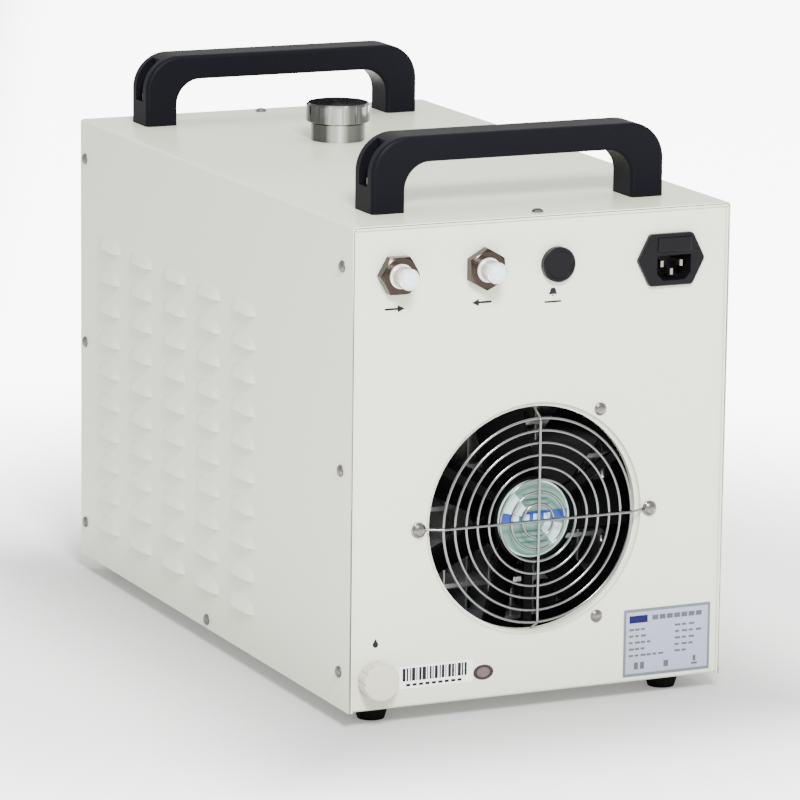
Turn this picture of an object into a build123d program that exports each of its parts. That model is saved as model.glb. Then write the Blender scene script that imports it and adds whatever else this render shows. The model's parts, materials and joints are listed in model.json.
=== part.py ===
from build123d import *
import os
from math import cos, pi, sin, sqrt

os.makedirs("parts", exist_ok=True)

# Recirculating chiller, in millimetres. Up is +Z with the feet on z = 0. The rear service panel faces -Y,
# so -X is the left side of a viewer who looks at that panel. Depth is measured from the rear edge of the
# cover towards the front.

# Case
case_width = 270.0
case_depth = 475.0
case_height = 318.0
sheet = 1.2
bend = 2.4
cover_bend = 1.7
fit_gap = 0.2
lip_width = 2.5
foot_height = 12.0
foot_top_radius = 12.5
foot_sole_radius = 9.0
foot_inset = 28.5

# Screws
m4_radius = 2.0
m4_head_radius = 3.9
m4_head_height = 2.3
m5_radius = 2.5
m5_head_radius = 4.5
screw_fit = 0.08
flange_width = 24.0
side_screw_rear_depth = 16.0
side_screw_front_setback = 9.0
side_screw_top_drop = 27.5
side_screw_foot_rise = 24.5
base_screw_rise = 6.3
base_flange_height = 12.5
top_screw_setback = 11.4
top_flange_half = 100.0

# Louvers
louver_length = 42.5
louver_height = 10.0
louver_out = 4.0
louver_taper = 8.0
louver_pitch = 60.7
louver_row_pitch = 22.6
louver_columns = 5
louver_rows = 10
louver_centre_depth = 297.6
louver_lowest = 40.6

# Handles
handle_length = 210.0
handle_width = 29.0
handle_height = 49.5
handle_leg = 23.5
handle_bar = 17.3
handle_outer_radius = 25.0
handle_inner_radius = 18.0
handle_edge = 2.8
handle_groove_width = 13.0
handle_groove_depth = 13.0
handle_groove_floor = 17.0
handle_screw_inset = 7.0
handle_screw_head_height = 5.0
handle_nut_flats = 8.0
handle_nut_height = 4.0
rear_handle_depth = 37.5
front_handle_setback = 23.0

# Fan
fan_x = -3.2
fan_z = 129.4
fan_hole_radius = 74.5
fan_hole_roll = 3.0
fan_collar = 7.0
fan_frame_wall = 3.0
fan_frame_depth = 38.0
fan_frame_gap = 0.3
fan_screw_circle = 83.5
fan_screw_angle = 56.3
fan_ear_radius = 6.5
fan_ear_thickness = 3.0
fan_strut_width = 6.0
fan_strut_thickness = 4.0
fan_strut_setback = 1.0
fan_hub_radius = 28.0
fan_hub_face = 1.8
fan_label_radius = 26.0
fan_label_thickness = 0.4
fan_blades = 7
fan_blade_chord = 34.0
fan_blade_thickness = 2.0
fan_blade_pitch = 40.0
fan_tip_gap = 2.4
fan_hub_wall = 2.2
fan_shaft_radius = 2.5
fan_tube_radius = 7.0
fan_shaft_seat = 2.0
fan_stator_radius = 20.0
fan_stator_length = 14.0
running_fit = 0.06

# Fan guard
guard_wire = 1.0
guard_out = 5.0
guard_rings = 8
guard_ring_outer = 67.8
guard_ring_pitch = 8.1
guard_weld = 0.3
guard_eye_radius = 4.2

# Hose system
hose_bore = 7.08
hose_wall = 2.5
hose_start = 2.5
spigot_radius = 7.0
spigot_bore = 4.9
spigot_length = 16.0
fitting_inner_length = 25.0
clamp_wall = 1.0
clamp_width = 7.0
clamp_inset = 5.0
inlet_bend = 26.0
delivery_bend = 40.0
drain_bend = 60.0

# Inlet and outlet fittings
fitting_z = 297.8
inlet_x = -104.0
outlet_x = -42.5
nut_flats = 24.0
nut_height = 7.0
tail_proud = 21.0
tail_radius = 7.0
tail_bore = 4.8
thread_radius = 8.0
panel_hole_gap = 0.3
fitting_flange_radius = 12.0
fitting_flange = 2.0
plug_length = 8.0
plug_proud = 0.6
plug_fit = 0.05

# Alarm socket
alarm_x = 9.6
alarm_z = 297.2
alarm_cap_radius = 11.5
alarm_cap_height = 5.0
alarm_cap_wall = 1.4
alarm_dish = 0.7
alarm_collar_height = 3.2
alarm_body_length = 14.0
alarm_cavity_depth = 12.0
alarm_pin_radius = 0.9
alarm_pin_spacing = 7.5
alarm_pin_length = 8.0

# Mains inlet
mains_x = 91.6
mains_z = 295.0
mains_width = 48.7
mains_height = 34.5
mains_flat = 31.0
mains_proud = 3.4
mains_body_margin = 1.5
mains_body_depth = 25.0
socket_x = 1.6
socket_z = -5.4
socket_width = 24.6
socket_height = 16.6
socket_chamfer = 4.5
socket_depth = 16.5
pin_spacing = 14.0
pin_rise = 2.2
earth_drop = 3.2
pin_width = 2.0
pin_height = 4.0
pin_length = 13.0
drawer_width = 24.0
drawer_height = 9.6
drawer_z = 10.0
drawer_proud = 0.8
drawer_depth = 20.0
drawer_fit = 0.15

# Drain
drain_x = -116.0
drain_z = 33.0
drain_cap_radius = 12.5
drain_cap_length = 12.0
drain_thread_radius = 9.6
drain_thread_length = 8.0
drain_seal_thickness = 1.5
drain_flutes = 12

# Filler
filler_depth = 327.0
neck_radius = 15.0
neck_bore = 12.5
neck_collar_radius = 19.0
neck_collar_height = 13.0
neck_mouth_height = 9.5
neck_tail = 25.0
neck_nut_flats = 38.0
neck_nut_height = 6.0
cap_radius = 22.4
cap_height = 13.2
cap_ceiling = 2.2
cap_flutes = 14
cap_flute_radius = 2.6
gasket_thickness = 1.5
seal_gap = 0.1
skirt_gap = 0.3

# Tank
tank_width = 216.0
tank_front_depth = 436.0
tank_rear_depth = 236.0
tank_height = 210.0
tank_wall = 3.0
lid_thickness = 3.0
lid_overhang = 2.0
lid_lip = 4.0
lid_fit = 0.3
lid_spout = 20.0
tank_ear_length = 14.0
tank_ear_width = 22.0
tank_ear_thickness = 4.0
tank_ear_inset = 30.0
return_z = 200.0
tank_drain_x = -96.0

# Pump
pump_z = 60.0
pump_offset = 28.0
volute_radius = 38.0
volute_wall = 4.0
volute_rear_depth = 176.0
volute_length = 24.0
discharge_top = 118.0
impeller_radius = 30.0
impeller_plate = 2.0
impeller_blade = 8.0
impeller_blades = 6
impeller_hub = 8.0
impeller_gap = 1.5
pump_shaft_radius = 4.0
pump_shaft_tail = 36.0
motor_radius = 34.0
motor_length = 76.0
motor_foot_half = 40.0
motor_foot_length = 44.0
motor_foot_thickness = 4.0
motor_pedestal_half = 22.0

# Radiator
radiator_rear_depth = 50.0
radiator_thickness = 30.0
radiator_bottom = 50.0
radiator_top = 235.0
header_width = 22.0
header_wall = 2.0
radiator_core_width = 179.6
radiator_tubes = 6
radiator_tube_height = 3.0
radiator_fins = 10
radiator_fin = 1.0
radiator_fin_inset = 1.5
radiator_foot_width = 20.0
radiator_foot_inset = 14.0
radiator_foot_thickness = 2.4
radiator_stub = 17.0

# Flow switch
switch_radius = 13.0
switch_bore = 8.5
switch_length = 44.0
switch_socket = 11.0
sensor_size = 18.0
sensor_drop = 14.0
paddle_width = 7.0
paddle_length = 9.5
paddle_thickness = 1.2
paddle_axis_rise = 5.0
paddle_pin_radius = 1.0
paddle_pin_half = 7.6

# Front controls
display_width = 76.0
display_height = 36.0
display_z = 262.0
display_bezel = 3.0
display_body_depth = 24.0
display_body_margin = 3.0
display_window_margin = 7.0
display_window_depth = 1.2
switch_x = 92.0
switch_z = 262.0
rocker_frame_width = 21.0
rocker_frame_height = 31.0
rocker_frame_proud = 2.0
rocker_body_depth = 22.0
rocker_body_margin = 1.5
rocker_wall = 2.6
rocker_gap = 0.3
rocker_tilt = 7.0
rocker_core_radius = 9.0
rocker_axle_radius = 1.5
rocker_axle_setback = 3.5
rocker_proud = 5.5

# Labels
rating_plate_low = (63.6, 15.9)
rating_plate_high = (127.7, 61.5)
rating_plate_thickness = 0.5
bar_label_low = (-99.0, 24.5)
bar_label_high = (-46.2, 39.5)
seal_label_centre = (-38.6, 30.0)
seal_label_radii = (7.25, 5.1)
label_thickness = 0.2

# Places worked out from the sizes above
panel_depth = sheet + fit_gap
overall_length = case_depth - 2 * panel_depth + tail_proud + plug_proud + rocker_proud
panel_y = -overall_length / 2 + tail_proud + plug_proud
rear_y = panel_y - panel_depth
front_y = rear_y + case_depth
front_panel_y = front_y - panel_depth
case_half = case_width / 2
floor_z = foot_height
top_z = floor_z + case_height
base_top = floor_z + sheet
cover_under = top_z - sheet
chassis_half = case_half - sheet - fit_gap
chassis_top = cover_under - fit_gap
hose_outer = hose_bore + hose_wall
spigot_face = panel_y + sheet


def y_at(depth):
    """Place of a depth behind the rear edge of the cover."""
    return rear_y + depth


def block(low, high, mode=Mode.ADD):
    """Box between two opposite corners."""
    middle = tuple((a + b) / 2 for a, b in zip(low, high))
    with Locations(middle):
        Box(*[b - a for a, b in zip(low, high)], mode=mode)


def rod(start, direction, radius, length, mode=Mode.ADD):
    """Round bar from a point along a direction."""
    with Locations(Plane(origin=start, z_dir=direction)):
        Cylinder(radius, length, align=(Align.CENTER, Align.CENTER, Align.MIN), mode=mode)


def turned(start, direction, profile, mode=Mode.ADD):
    """Turned solid: the profile is a list of distance along the axis and radius."""
    side = (1, 0, 0) if abs(direction[0]) < 0.5 else (0, 1, 0)
    plane = Plane(origin=start, x_dir=direction, z_dir=side)
    with BuildSketch(plane) as section:
        with BuildLine():
            Polyline(*profile, close=True)
        make_face()
    revolve(section.sketch, axis=Axis(start, direction), mode=mode)


def hexagon(start, direction, flats, length, turn=0.0):
    """Hexagonal bar from a point along a direction."""
    with BuildSketch(Plane(origin=start, x_dir=(1, 0, 0), z_dir=direction)) as section:
        RegularPolygon(flats / 2, 6, major_radius=False, rotation=turn)
    extrude(section.sketch, amount=length)


def mains_points(margin):
    """Corners of the mains inlet's outline, set in by the margin."""
    half_height = mains_height / 2 - margin
    slope = (mains_width - mains_flat) / mains_height
    tip = mains_width / 2 - margin * sqrt(1 + slope**2)
    end = tip - half_height * slope
    top_edge = [(-tip, 0), (-end, half_height), (end, half_height)]
    return top_edge + [(-x, -z) for x, z in top_edge]


def mains_prism(low_y, high_y, margin, mode=Mode.ADD):
    """Prism with the mains inlet's outline, set in by the margin."""
    with BuildSketch(Plane(origin=(mains_x, high_y, mains_z), x_dir=(1, 0, 0), z_dir=(0, -1, 0))) as section:
        with BuildLine():
            Polyline(*mains_points(margin), close=True)
        make_face()
    extrude(section.sketch, high_y - low_y, mode=mode)


def pan_screw(seat, inward, radius, head_radius, head_height, length):
    """Domed screw whose head sits on the seat and whose shank runs inward."""
    profile = [
        (length, 0),
        (length, radius),
        (0, radius),
        (0, head_radius),
        (-head_height * 0.35, head_radius),
        (-head_height * 0.8, head_radius * 0.72),
        (-head_height, head_radius * 0.3),
        (-head_height, 0),
    ]
    turned(seat, inward, profile)


def hose(points, radius):
    """Hose through the given points, with its bends rounded."""
    with BuildLine() as route:
        if len(points) > 2:
            FilletPolyline(*points, radius=radius)
        else:
            Line(*points)
    with BuildSketch(Plane(origin=route.line @ 0, z_dir=route.line % 0)) as section:
        Circle(hose_outer)
        Circle(hose_bore, mode=Mode.SUBTRACT)
    sweep(section.sketch, path=route.line)


def clamp(centre, direction):
    """Hose clamp round a hose, with its screw block on top."""
    back = tuple(c - d * clamp_width / 2 for c, d in zip(centre, direction))
    inner = hose_outer + fit_gap
    outer = inner + clamp_wall
    turned(
        back,
        direction,
        [(0, inner), (0, outer), (clamp_width, outer), (clamp_width, inner)],
    )
    up = (0, 0, 1) if abs(direction[2]) < 0.5 else (0, 1, 0)
    lug = tuple(c + u * (inner + clamp_wall / 2) for c, u in zip(centre, up))
    half = clamp_width / 2
    with Locations(Plane(origin=lug, z_dir=up)):
        Box(clamp_width, clamp_width, half, align=(Align.CENTER, Align.CENTER, Align.MIN))


def finish(part, name):
    """Label a piece and write it to its file."""
    part.part.label = name
    export_step(part.part, f"parts/{name}.step")


# Screw places on the side, top and base

side_screw_depths = (side_screw_rear_depth, case_depth - side_screw_front_setback)
side_screw_heights = (
    floor_z + side_screw_foot_rise,
    (floor_z + side_screw_foot_rise + top_z - side_screw_top_drop) / 2,
    top_z - side_screw_top_drop,
)
side_screws = [(y_at(d), z) for d in side_screw_depths for z in side_screw_heights]
side_screws.append((y_at(case_depth / 2), floor_z + base_screw_rise))
top_screws = [y_at(top_screw_setback), y_at(case_depth - top_screw_setback)]
handle_depths = {
    "rear_handle": rear_handle_depth,
    "front_handle": case_depth - front_handle_setback - handle_width,
}
handle_screw_x = handle_length / 2 - handle_screw_inset
handle_screws_xy = [
    (side * handle_screw_x, y_at(depth + handle_width / 2))
    for depth in handle_depths.values()
    for side in (-1, 1)
]
foot_x = case_half - foot_inset
feet_xy = {
    "foot_rear_left": (-foot_x, y_at(foot_inset)),
    "foot_rear_right": (foot_x, y_at(foot_inset)),
    "foot_front_left": (-foot_x, y_at(case_depth - foot_inset)),
    "foot_front_right": (foot_x, y_at(case_depth - foot_inset)),
}
fan_centre = (fan_x, panel_y, fan_z)
fan_angle_rad = fan_screw_angle * pi / 180
fan_screw_xz = [
    (fan_x - fan_screw_circle, fan_z),
    (fan_x + fan_screw_circle, fan_z),
    (fan_x + fan_screw_circle * cos(fan_angle_rad), fan_z + fan_screw_circle * sin(fan_angle_rad)),
    (fan_x + fan_screw_circle * cos(fan_angle_rad), fan_z - fan_screw_circle * sin(fan_angle_rad)),
]
pump_x = outlet_x + pump_offset
header_left_x = inlet_x
header_right_x = inlet_x + radiator_core_width + header_width
header_mid_depth = radiator_rear_depth + radiator_thickness / 2
tank_half = tank_width / 2
tank_top = base_top + tank_height
filler_y = y_at(filler_depth)
motor_front_depth = volute_rear_depth
motor_rear_depth = volute_rear_depth - motor_length
motor_mid_depth = (motor_front_depth + motor_rear_depth) / 2
tank_ear_x = tank_half + tank_ear_length / 2
tank_ear_depths = (tank_rear_depth + tank_ear_inset, tank_front_depth - tank_ear_inset)
motor_ear_x = (motor_pedestal_half + motor_foot_half) / 2
radiator_foot_x = (
    header_left_x + header_width / 2 + radiator_foot_inset,
    header_right_x - header_width / 2 - radiator_foot_inset,
)
base_screws_xyz = (
    [
        (side * tank_ear_x, y_at(depth), base_top + tank_ear_thickness)
        for side in (-1, 1)
        for depth in tank_ear_depths
    ]
    + [
        (pump_x + side * motor_ear_x, y_at(motor_mid_depth), base_top + motor_foot_thickness)
        for side in (-1, 1)
    ]
    + [
        (x, y_at(radiator_rear_depth + radiator_foot_inset / 2), base_top + radiator_foot_thickness)
        for x in radiator_foot_x
    ]
)
base_screw_length = base_top + tank_ear_thickness - floor_z + 1.0


# Cover: one folded sheet over the top and both sides, with a lip round each end

louver_half = louver_length / 2
louver_points = [
    (0, -louver_half, 0),
    (0, louver_half, 0),
    (0, louver_half - louver_taper, louver_height),
    (0, -louver_half + louver_taper, louver_height),
    (louver_out, louver_half - louver_taper, 0),
    (louver_out, -louver_half + louver_taper, 0),
]
louver_places = [
    (
        y_at(louver_centre_depth + (column - (louver_columns - 1) / 2) * louver_pitch),
        louver_lowest + row * louver_row_pitch,
    )
    for column in range(louver_columns)
    for row in range(louver_rows)
]


def louvers(inset, mode):
    """Faceted scoops on both side walls, moved inward by the inset."""
    x = case_half - inset
    right = [Location((x, y, z)) for y, z in louver_places]
    left = [Location((-x, y, z), (0, 0, 180)) for y, z in louver_places]
    with Locations(*right, *left):
        ConvexPolyhedron(louver_points, mode=mode)


with BuildPart() as cover:
    with BuildSketch(Plane(origin=(0, rear_y, 0), x_dir=(1, 0, 0), z_dir=(0, -1, 0))) as outline:
        with Locations((0, floor_z + case_height / 2)):
            Rectangle(case_width, case_height)
        fillet(outline.vertices().group_by(Axis.Y)[-1], cover_bend)
    extrude(amount=-case_depth)
    with BuildSketch(Plane(origin=(0, y_at(sheet), 0), x_dir=(1, 0, 0), z_dir=(0, -1, 0))) as inside:
        with Locations((0, (floor_z + cover_under) / 2)):
            Rectangle(2 * (case_half - sheet), cover_under - floor_z)
        fillet(inside.vertices().group_by(Axis.Y)[-1], cover_bend - sheet)
    extrude(amount=-(case_depth - 2 * sheet), mode=Mode.SUBTRACT)
    block(
        (-case_half + lip_width, rear_y, floor_z),
        (case_half - lip_width, front_y, top_z - lip_width),
        mode=Mode.SUBTRACT,
    )
    louvers(0, Mode.ADD)
    louvers(sheet, Mode.SUBTRACT)
    for side in (-1, 1):
        for y, z in side_screws:
            rod((side * (case_half - 2 * sheet), y, z), (side, 0, 0), m4_radius + screw_fit, 3 * sheet,
                Mode.SUBTRACT)
    for y in top_screws:
        rod((0, y, cover_under - sheet), (0, 0, 1), m4_radius + screw_fit, 3 * sheet, Mode.SUBTRACT)
    for x, y in handle_screws_xy:
        rod((x, y, cover_under - sheet), (0, 0, 1), m5_radius + screw_fit, 3 * sheet, Mode.SUBTRACT)
    rod((0, filler_y, cover_under - sheet), (0, 0, 1), neck_radius + screw_fit, 3 * sheet, Mode.SUBTRACT)
finish(cover, "cover")

# Chassis: one folded sheet with the base, the rear service panel and the front panel

with BuildPart() as chassis:
    with BuildSketch(Plane.YZ.offset(-chassis_half)) as tray:
        with Locations(((panel_y + front_panel_y) / 2, (floor_z + chassis_top) / 2)):
            Rectangle(front_panel_y - panel_y, chassis_top - floor_z)
        fillet(tray.vertices().group_by(Axis.Y)[0], bend)
    extrude(amount=2 * chassis_half)
    with BuildSketch(Plane.YZ.offset(-chassis_half)) as hollow:
        with Locations(((panel_y + front_panel_y) / 2, (base_top + chassis_top) / 2)):
            Rectangle(front_panel_y - panel_y - 2 * sheet, chassis_top - base_top)
        fillet(hollow.vertices().group_by(Axis.Y)[0], bend - sheet)
    extrude(amount=2 * chassis_half, mode=Mode.SUBTRACT)
    corner_relief = base_flange_height + bend
    for near, far in (
        (panel_y, y_at(flange_width)),
        (y_at(case_depth - flange_width), front_panel_y),
    ):
        for side in (-1, 1):
            x = sorted((side * (chassis_half - sheet), side * chassis_half))
            block((x[0], near, floor_z + corner_relief), (x[1], far, chassis_top))
        block((-top_flange_half, near, chassis_top - sheet), (top_flange_half, far, chassis_top))
    for side in (-1, 1):
        x = sorted((side * (chassis_half - sheet), side * chassis_half))
        block(
            (x[0], y_at(flange_width + bend), floor_z),
            (x[1], y_at(case_depth - flange_width - bend), floor_z + base_flange_height),
        )
        for y, z in side_screws:
            rod((side * (chassis_half - 2 * sheet), y, z), (side, 0, 0), m4_radius + screw_fit, 3 * sheet,
                Mode.SUBTRACT)
    for y in top_screws:
        rod((0, y, chassis_top - 2 * sheet), (0, 0, 1), m4_radius + screw_fit, 3 * sheet, Mode.SUBTRACT)
    for x, y in feet_xy.values():
        rod((x, y, floor_z - sheet), (0, 0, 1), m5_radius + screw_fit, 3 * sheet, Mode.SUBTRACT)
    for x, y, seat in base_screws_xyz:
        rod((x, y, floor_z - sheet), (0, 0, 1), m4_radius + screw_fit, 3 * sheet, Mode.SUBTRACT)
    # Rolled collar of the fan hole
    roll_outer = fan_hole_radius + fan_hole_roll
    rod((fan_x, panel_y - sheet, fan_z), (0, 1, 0), roll_outer, 3 * sheet, Mode.SUBTRACT)
    with BuildSketch(Plane(origin=fan_centre, x_dir=(0, 1, 0), z_dir=(1, 0, 0))):
        with BuildLine():
            Line((0, roll_outer), (sheet, roll_outer))
            RadiusArc((sheet, roll_outer), (fan_hole_roll, fan_hole_radius + sheet), fan_hole_roll - sheet)
            Line((fan_hole_roll, fan_hole_radius + sheet), (fan_collar, fan_hole_radius + sheet))
            Line((fan_collar, fan_hole_radius + sheet), (fan_collar, fan_hole_radius))
            Line((fan_collar, fan_hole_radius), (fan_hole_roll, fan_hole_radius))
            RadiusArc((fan_hole_roll, fan_hole_radius), (0, roll_outer), -fan_hole_roll)
        make_face()
    revolve(axis=Axis(fan_centre, (0, 1, 0)))
    for x, z in fan_screw_xz:
        rod((x, panel_y - sheet, z), (0, 1, 0), m4_radius + screw_fit, 3 * sheet, Mode.SUBTRACT)
    for x in (inlet_x, outlet_x):
        rod((x, panel_y - sheet, fitting_z), (0, 1, 0), thread_radius + panel_hole_gap, 3 * sheet,
            Mode.SUBTRACT)
    rod((alarm_x, panel_y - sheet, alarm_z), (0, 1, 0), thread_radius + panel_hole_gap, 3 * sheet,
        Mode.SUBTRACT)
    rod((drain_x, panel_y - sheet, drain_z), (0, 1, 0), drain_thread_radius + panel_hole_gap, 3 * sheet,
        Mode.SUBTRACT)
    mains_prism(panel_y - sheet, spigot_face + sheet, mains_body_margin - fit_gap, Mode.SUBTRACT)
    # Cut-outs of the front panel
    for x, z, width, height, margin in (
        (0, display_z, display_width, display_height, display_body_margin),
        (switch_x, switch_z, rocker_frame_width, rocker_frame_height, rocker_body_margin),
    ):
        half_x = width / 2 - margin + fit_gap
        half_z = height / 2 - margin + fit_gap
        block(
            (x - half_x, front_panel_y - 2 * sheet, z - half_z),
            (x + half_x, front_panel_y + sheet, z + half_z),
            mode=Mode.SUBTRACT,
        )
finish(chassis, "chassis")

# Bridge handles: moulded, with a groove down each end for its screw

for handle_name, handle_depth in handle_depths.items():
    face = Plane(origin=(0, y_at(handle_depth), top_z), x_dir=(1, 0, 0), z_dir=(0, -1, 0))
    with BuildPart() as handle:
        with BuildSketch(face) as arch:
            with Locations((0, handle_height / 2)):
                Rectangle(handle_length, handle_height)
            fillet(arch.vertices().group_by(Axis.Y)[-1], handle_outer_radius)
        extrude(amount=-handle_width)
        with BuildSketch(face) as gap:
            with Locations((0, (handle_height - handle_bar) / 2)):
                Rectangle(handle_length - 2 * handle_leg, handle_height - handle_bar)
            fillet(gap.vertices().group_by(Axis.Y)[-1], handle_inner_radius)
        extrude(amount=-handle_width, mode=Mode.SUBTRACT)
        rims = handle.faces().filter_by(Axis.Y).edges()
        fillet([edge for edge in rims if edge.center().Z > top_z + handle_edge], handle_edge)
        groove_y = y_at(handle_depth + (handle_width - handle_groove_width) / 2)
        for side in (-1, 1):
            x = sorted((side * (handle_length / 2 - handle_groove_depth), side * (handle_length / 2 + 1)))
            block(
                (x[0], groove_y, top_z + handle_groove_floor),
                (x[1], groove_y + handle_groove_width, top_z + handle_height + 1),
                mode=Mode.SUBTRACT,
            )
            rod(
                (side * handle_screw_x, groove_y + handle_groove_width / 2, top_z - 1),
                (0, 0, 1),
                m5_radius + screw_fit,
                handle_groove_floor + 2,
                Mode.SUBTRACT,
            )
    finish(handle, handle_name)

handle_screw_length = handle_groove_floor + sheet + handle_nut_height + 2.0
with BuildPart() as handle_screws:
    for x, y in handle_screws_xy:
        seat = (x, y, top_z + handle_groove_floor)
        rod(seat, (0, 0, 1), m5_head_radius, handle_screw_head_height)
        rod(seat, (0, 0, -1), m5_radius, handle_screw_length)
        with BuildSketch(Plane(origin=(x, y, seat[2] + handle_screw_head_height / 2))):
            RegularPolygon(m5_radius, 6)
        extrude(amount=handle_screw_head_height, mode=Mode.SUBTRACT)
finish(handle_screws, "handle_screws")

with BuildPart() as handle_nuts:
    for x, y in handle_screws_xy:
        hexagon((x, y, cover_under), (0, 0, -1), handle_nut_flats, handle_nut_height)
        rod((x, y, cover_under), (0, 0, -1), m5_radius + screw_fit, handle_nut_height, Mode.SUBTRACT)
finish(handle_nuts, "handle_nuts")

# Feet and their screws

foot_recess = foot_height / 2
for foot_name, (x, y) in feet_xy.items():
    with BuildPart() as foot:
        turned(
            (x, y, 0),
            (0, 0, 1),
            [
                (0, m5_head_radius + 1),
                (0, foot_sole_radius),
                (foot_height, foot_top_radius),
                (foot_height, m5_radius + screw_fit),
                (foot_recess, m5_radius + screw_fit),
                (foot_recess, m5_head_radius + 1),
            ],
        )
    finish(foot, foot_name)

with BuildPart() as foot_screws:
    for x, y in feet_xy.values():
        pan_screw(
            (x, y, foot_recess),
            (0, 0, 1),
            m5_radius,
            m5_head_radius,
            m4_head_height,
            foot_height - foot_recess + 2 * sheet,
        )
finish(foot_screws, "foot_screws")

# Cover screws: seven on each side and two on the top

cover_screw_length = 5.0
with BuildPart() as cover_screws:
    for side in (-1, 1):
        for y, z in side_screws:
            pan_screw((side * case_half, y, z), (-side, 0, 0), m4_radius, m4_head_radius, m4_head_height,
                      cover_screw_length)
    for y in top_screws:
        pan_screw((0, y, top_z), (0, 0, -1), m4_radius, m4_head_radius, m4_head_height, cover_screw_length)
finish(cover_screws, "cover_screws")

# Axial fan: frame with three struts, hub plate and bearing tube, then stator, shaft, rotor and label

frame_inner = fan_hole_radius + fan_hole_roll + fan_frame_gap
frame_outer = frame_inner + fan_frame_wall
frame_face = spigot_face
frame_back = frame_face + fan_frame_depth
strut_y = panel_y + fan_collar + fan_strut_setback
hub_face_y = panel_y + fan_hub_face + fan_label_thickness
hub_back_y = strut_y + fan_strut_thickness
rotor_front_y = hub_back_y + 1.5
rotor_back_y = frame_back - 1.5
tube_end_y = rotor_back_y - fan_hub_wall - 2.0

with BuildPart() as fan_housing:
    turned(
        (fan_x, frame_face, fan_z),
        (0, 1, 0),
        [(0, frame_inner), (0, frame_outer), (fan_frame_depth, frame_outer), (fan_frame_depth, frame_inner)],
    )
    for x, z in fan_screw_xz:
        rod((x, frame_face, z), (0, 1, 0), fan_ear_radius, fan_ear_thickness)
    rod((fan_x, frame_face, fan_z), (0, 1, 0), frame_inner, fan_ear_thickness, Mode.SUBTRACT)
    strut_reach = frame_inner + fan_frame_wall / 2
    for turn in (30, 150, 270):
        strut_frame = Plane(origin=(fan_x, strut_y, fan_z), x_dir=(cos(turn * pi / 180), 0,
                            sin(turn * pi / 180)), z_dir=(0, 1, 0))
        with BuildSketch(strut_frame):
            with Locations((strut_reach / 2, 0)):
                Rectangle(strut_reach, fan_strut_width)
        extrude(amount=fan_strut_thickness)
    rod((fan_x, hub_face_y, fan_z), (0, 1, 0), fan_hub_radius, hub_back_y - hub_face_y)
    rod((fan_x, hub_back_y, fan_z), (0, 1, 0), fan_tube_radius, tube_end_y - hub_back_y)
    rod((fan_x, hub_back_y - fan_shaft_seat, fan_z), (0, 1, 0), fan_shaft_radius + running_fit,
        tube_end_y - hub_back_y + fan_shaft_seat + 1, Mode.SUBTRACT)
    for x, z in fan_screw_xz:
        rod((x, frame_face - 1, z), (0, 1, 0), m4_radius + screw_fit, fan_ear_thickness + 2, Mode.SUBTRACT)
finish(fan_housing, "fan_housing")

stator_y = rotor_front_y + 1.0
with BuildPart() as fan_stator:
    turned(
        (fan_x, stator_y, fan_z),
        (0, 1, 0),
        [
            (0, fan_tube_radius + screw_fit),
            (0, fan_stator_radius),
            (fan_stator_length, fan_stator_radius),
            (fan_stator_length, fan_tube_radius + screw_fit),
        ],
    )
finish(fan_stator, "fan_stator")

with BuildPart() as fan_shaft:
    seat_y = hub_back_y - fan_shaft_seat + fit_gap
    rod((fan_x, seat_y, fan_z), (0, 1, 0), fan_shaft_radius, rotor_back_y - seat_y)
finish(fan_shaft, "fan_shaft")

blade_root = fan_hub_radius - fan_hub_wall
blade_tip = frame_inner - fan_tip_gap
with BuildPart() as fan_rotor:
    turned(
        (fan_x, rotor_front_y, fan_z),
        (0, 1, 0),
        [
            (0, fan_hub_radius - fan_hub_wall),
            (0, fan_hub_radius),
            (rotor_back_y - rotor_front_y, fan_hub_radius),
            (rotor_back_y - rotor_front_y, fan_shaft_radius + screw_fit / 2),
            (rotor_back_y - rotor_front_y - fan_hub_wall, fan_shaft_radius + screw_fit / 2),
            (rotor_back_y - rotor_front_y - fan_hub_wall, fan_hub_radius - fan_hub_wall),
        ],
    )
    for number in range(fan_blades):
        turn = 2 * pi * number / fan_blades
        outward = (cos(turn), 0, sin(turn))
        root = (
            fan_x + outward[0] * blade_root,
            (rotor_front_y + rotor_back_y) / 2,
            fan_z + outward[2] * blade_root,
        )
        with BuildSketch(Plane(origin=root, x_dir=(0, 1, 0), z_dir=outward)):
            Rectangle(fan_blade_chord, fan_blade_thickness, rotation=90 - fan_blade_pitch)
        extrude(amount=blade_tip - blade_root)
    with BuildSketch(Plane(origin=(fan_x, rotor_front_y, fan_z), x_dir=(1, 0, 0), z_dir=(0, 1, 0))):
        Circle(fan_hub_radius - fan_hub_wall)
    extrude(amount=rotor_back_y - rotor_front_y - fan_hub_wall, mode=Mode.SUBTRACT)
finish(fan_rotor, "fan_rotor")

with BuildPart() as fan_label:
    rod((fan_x, hub_face_y, fan_z), (0, -1, 0), fan_label_radius, fan_label_thickness)
finish(fan_label, "fan_label")

# Wire guard: rings welded to two spokes, one of them bent down to the screws

guard_section = 22.5


def guard_ring(centre, radius):
    """Ring of guard wire in front of the rear panel."""
    with BuildSketch(Plane(origin=centre, x_dir=(1, 0, 0), z_dir=(0, 0, 1))) as section:
        with Locations((radius, 0)):
            RegularPolygon(guard_wire, 8, rotation=guard_section)
    revolve(section.sketch, axis=Axis(centre, (0, 1, 0)))


def guard_spoke(points):
    """Guard wire through the given points."""
    with BuildLine() as route:
        FilletPolyline(*points, radius=2 * guard_wire)
    with BuildSketch(Plane(origin=route.line @ 0, z_dir=route.line % 0)) as section:
        RegularPolygon(guard_wire, 8, rotation=guard_section)
    sweep(section.sketch, path=route.line)


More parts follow.
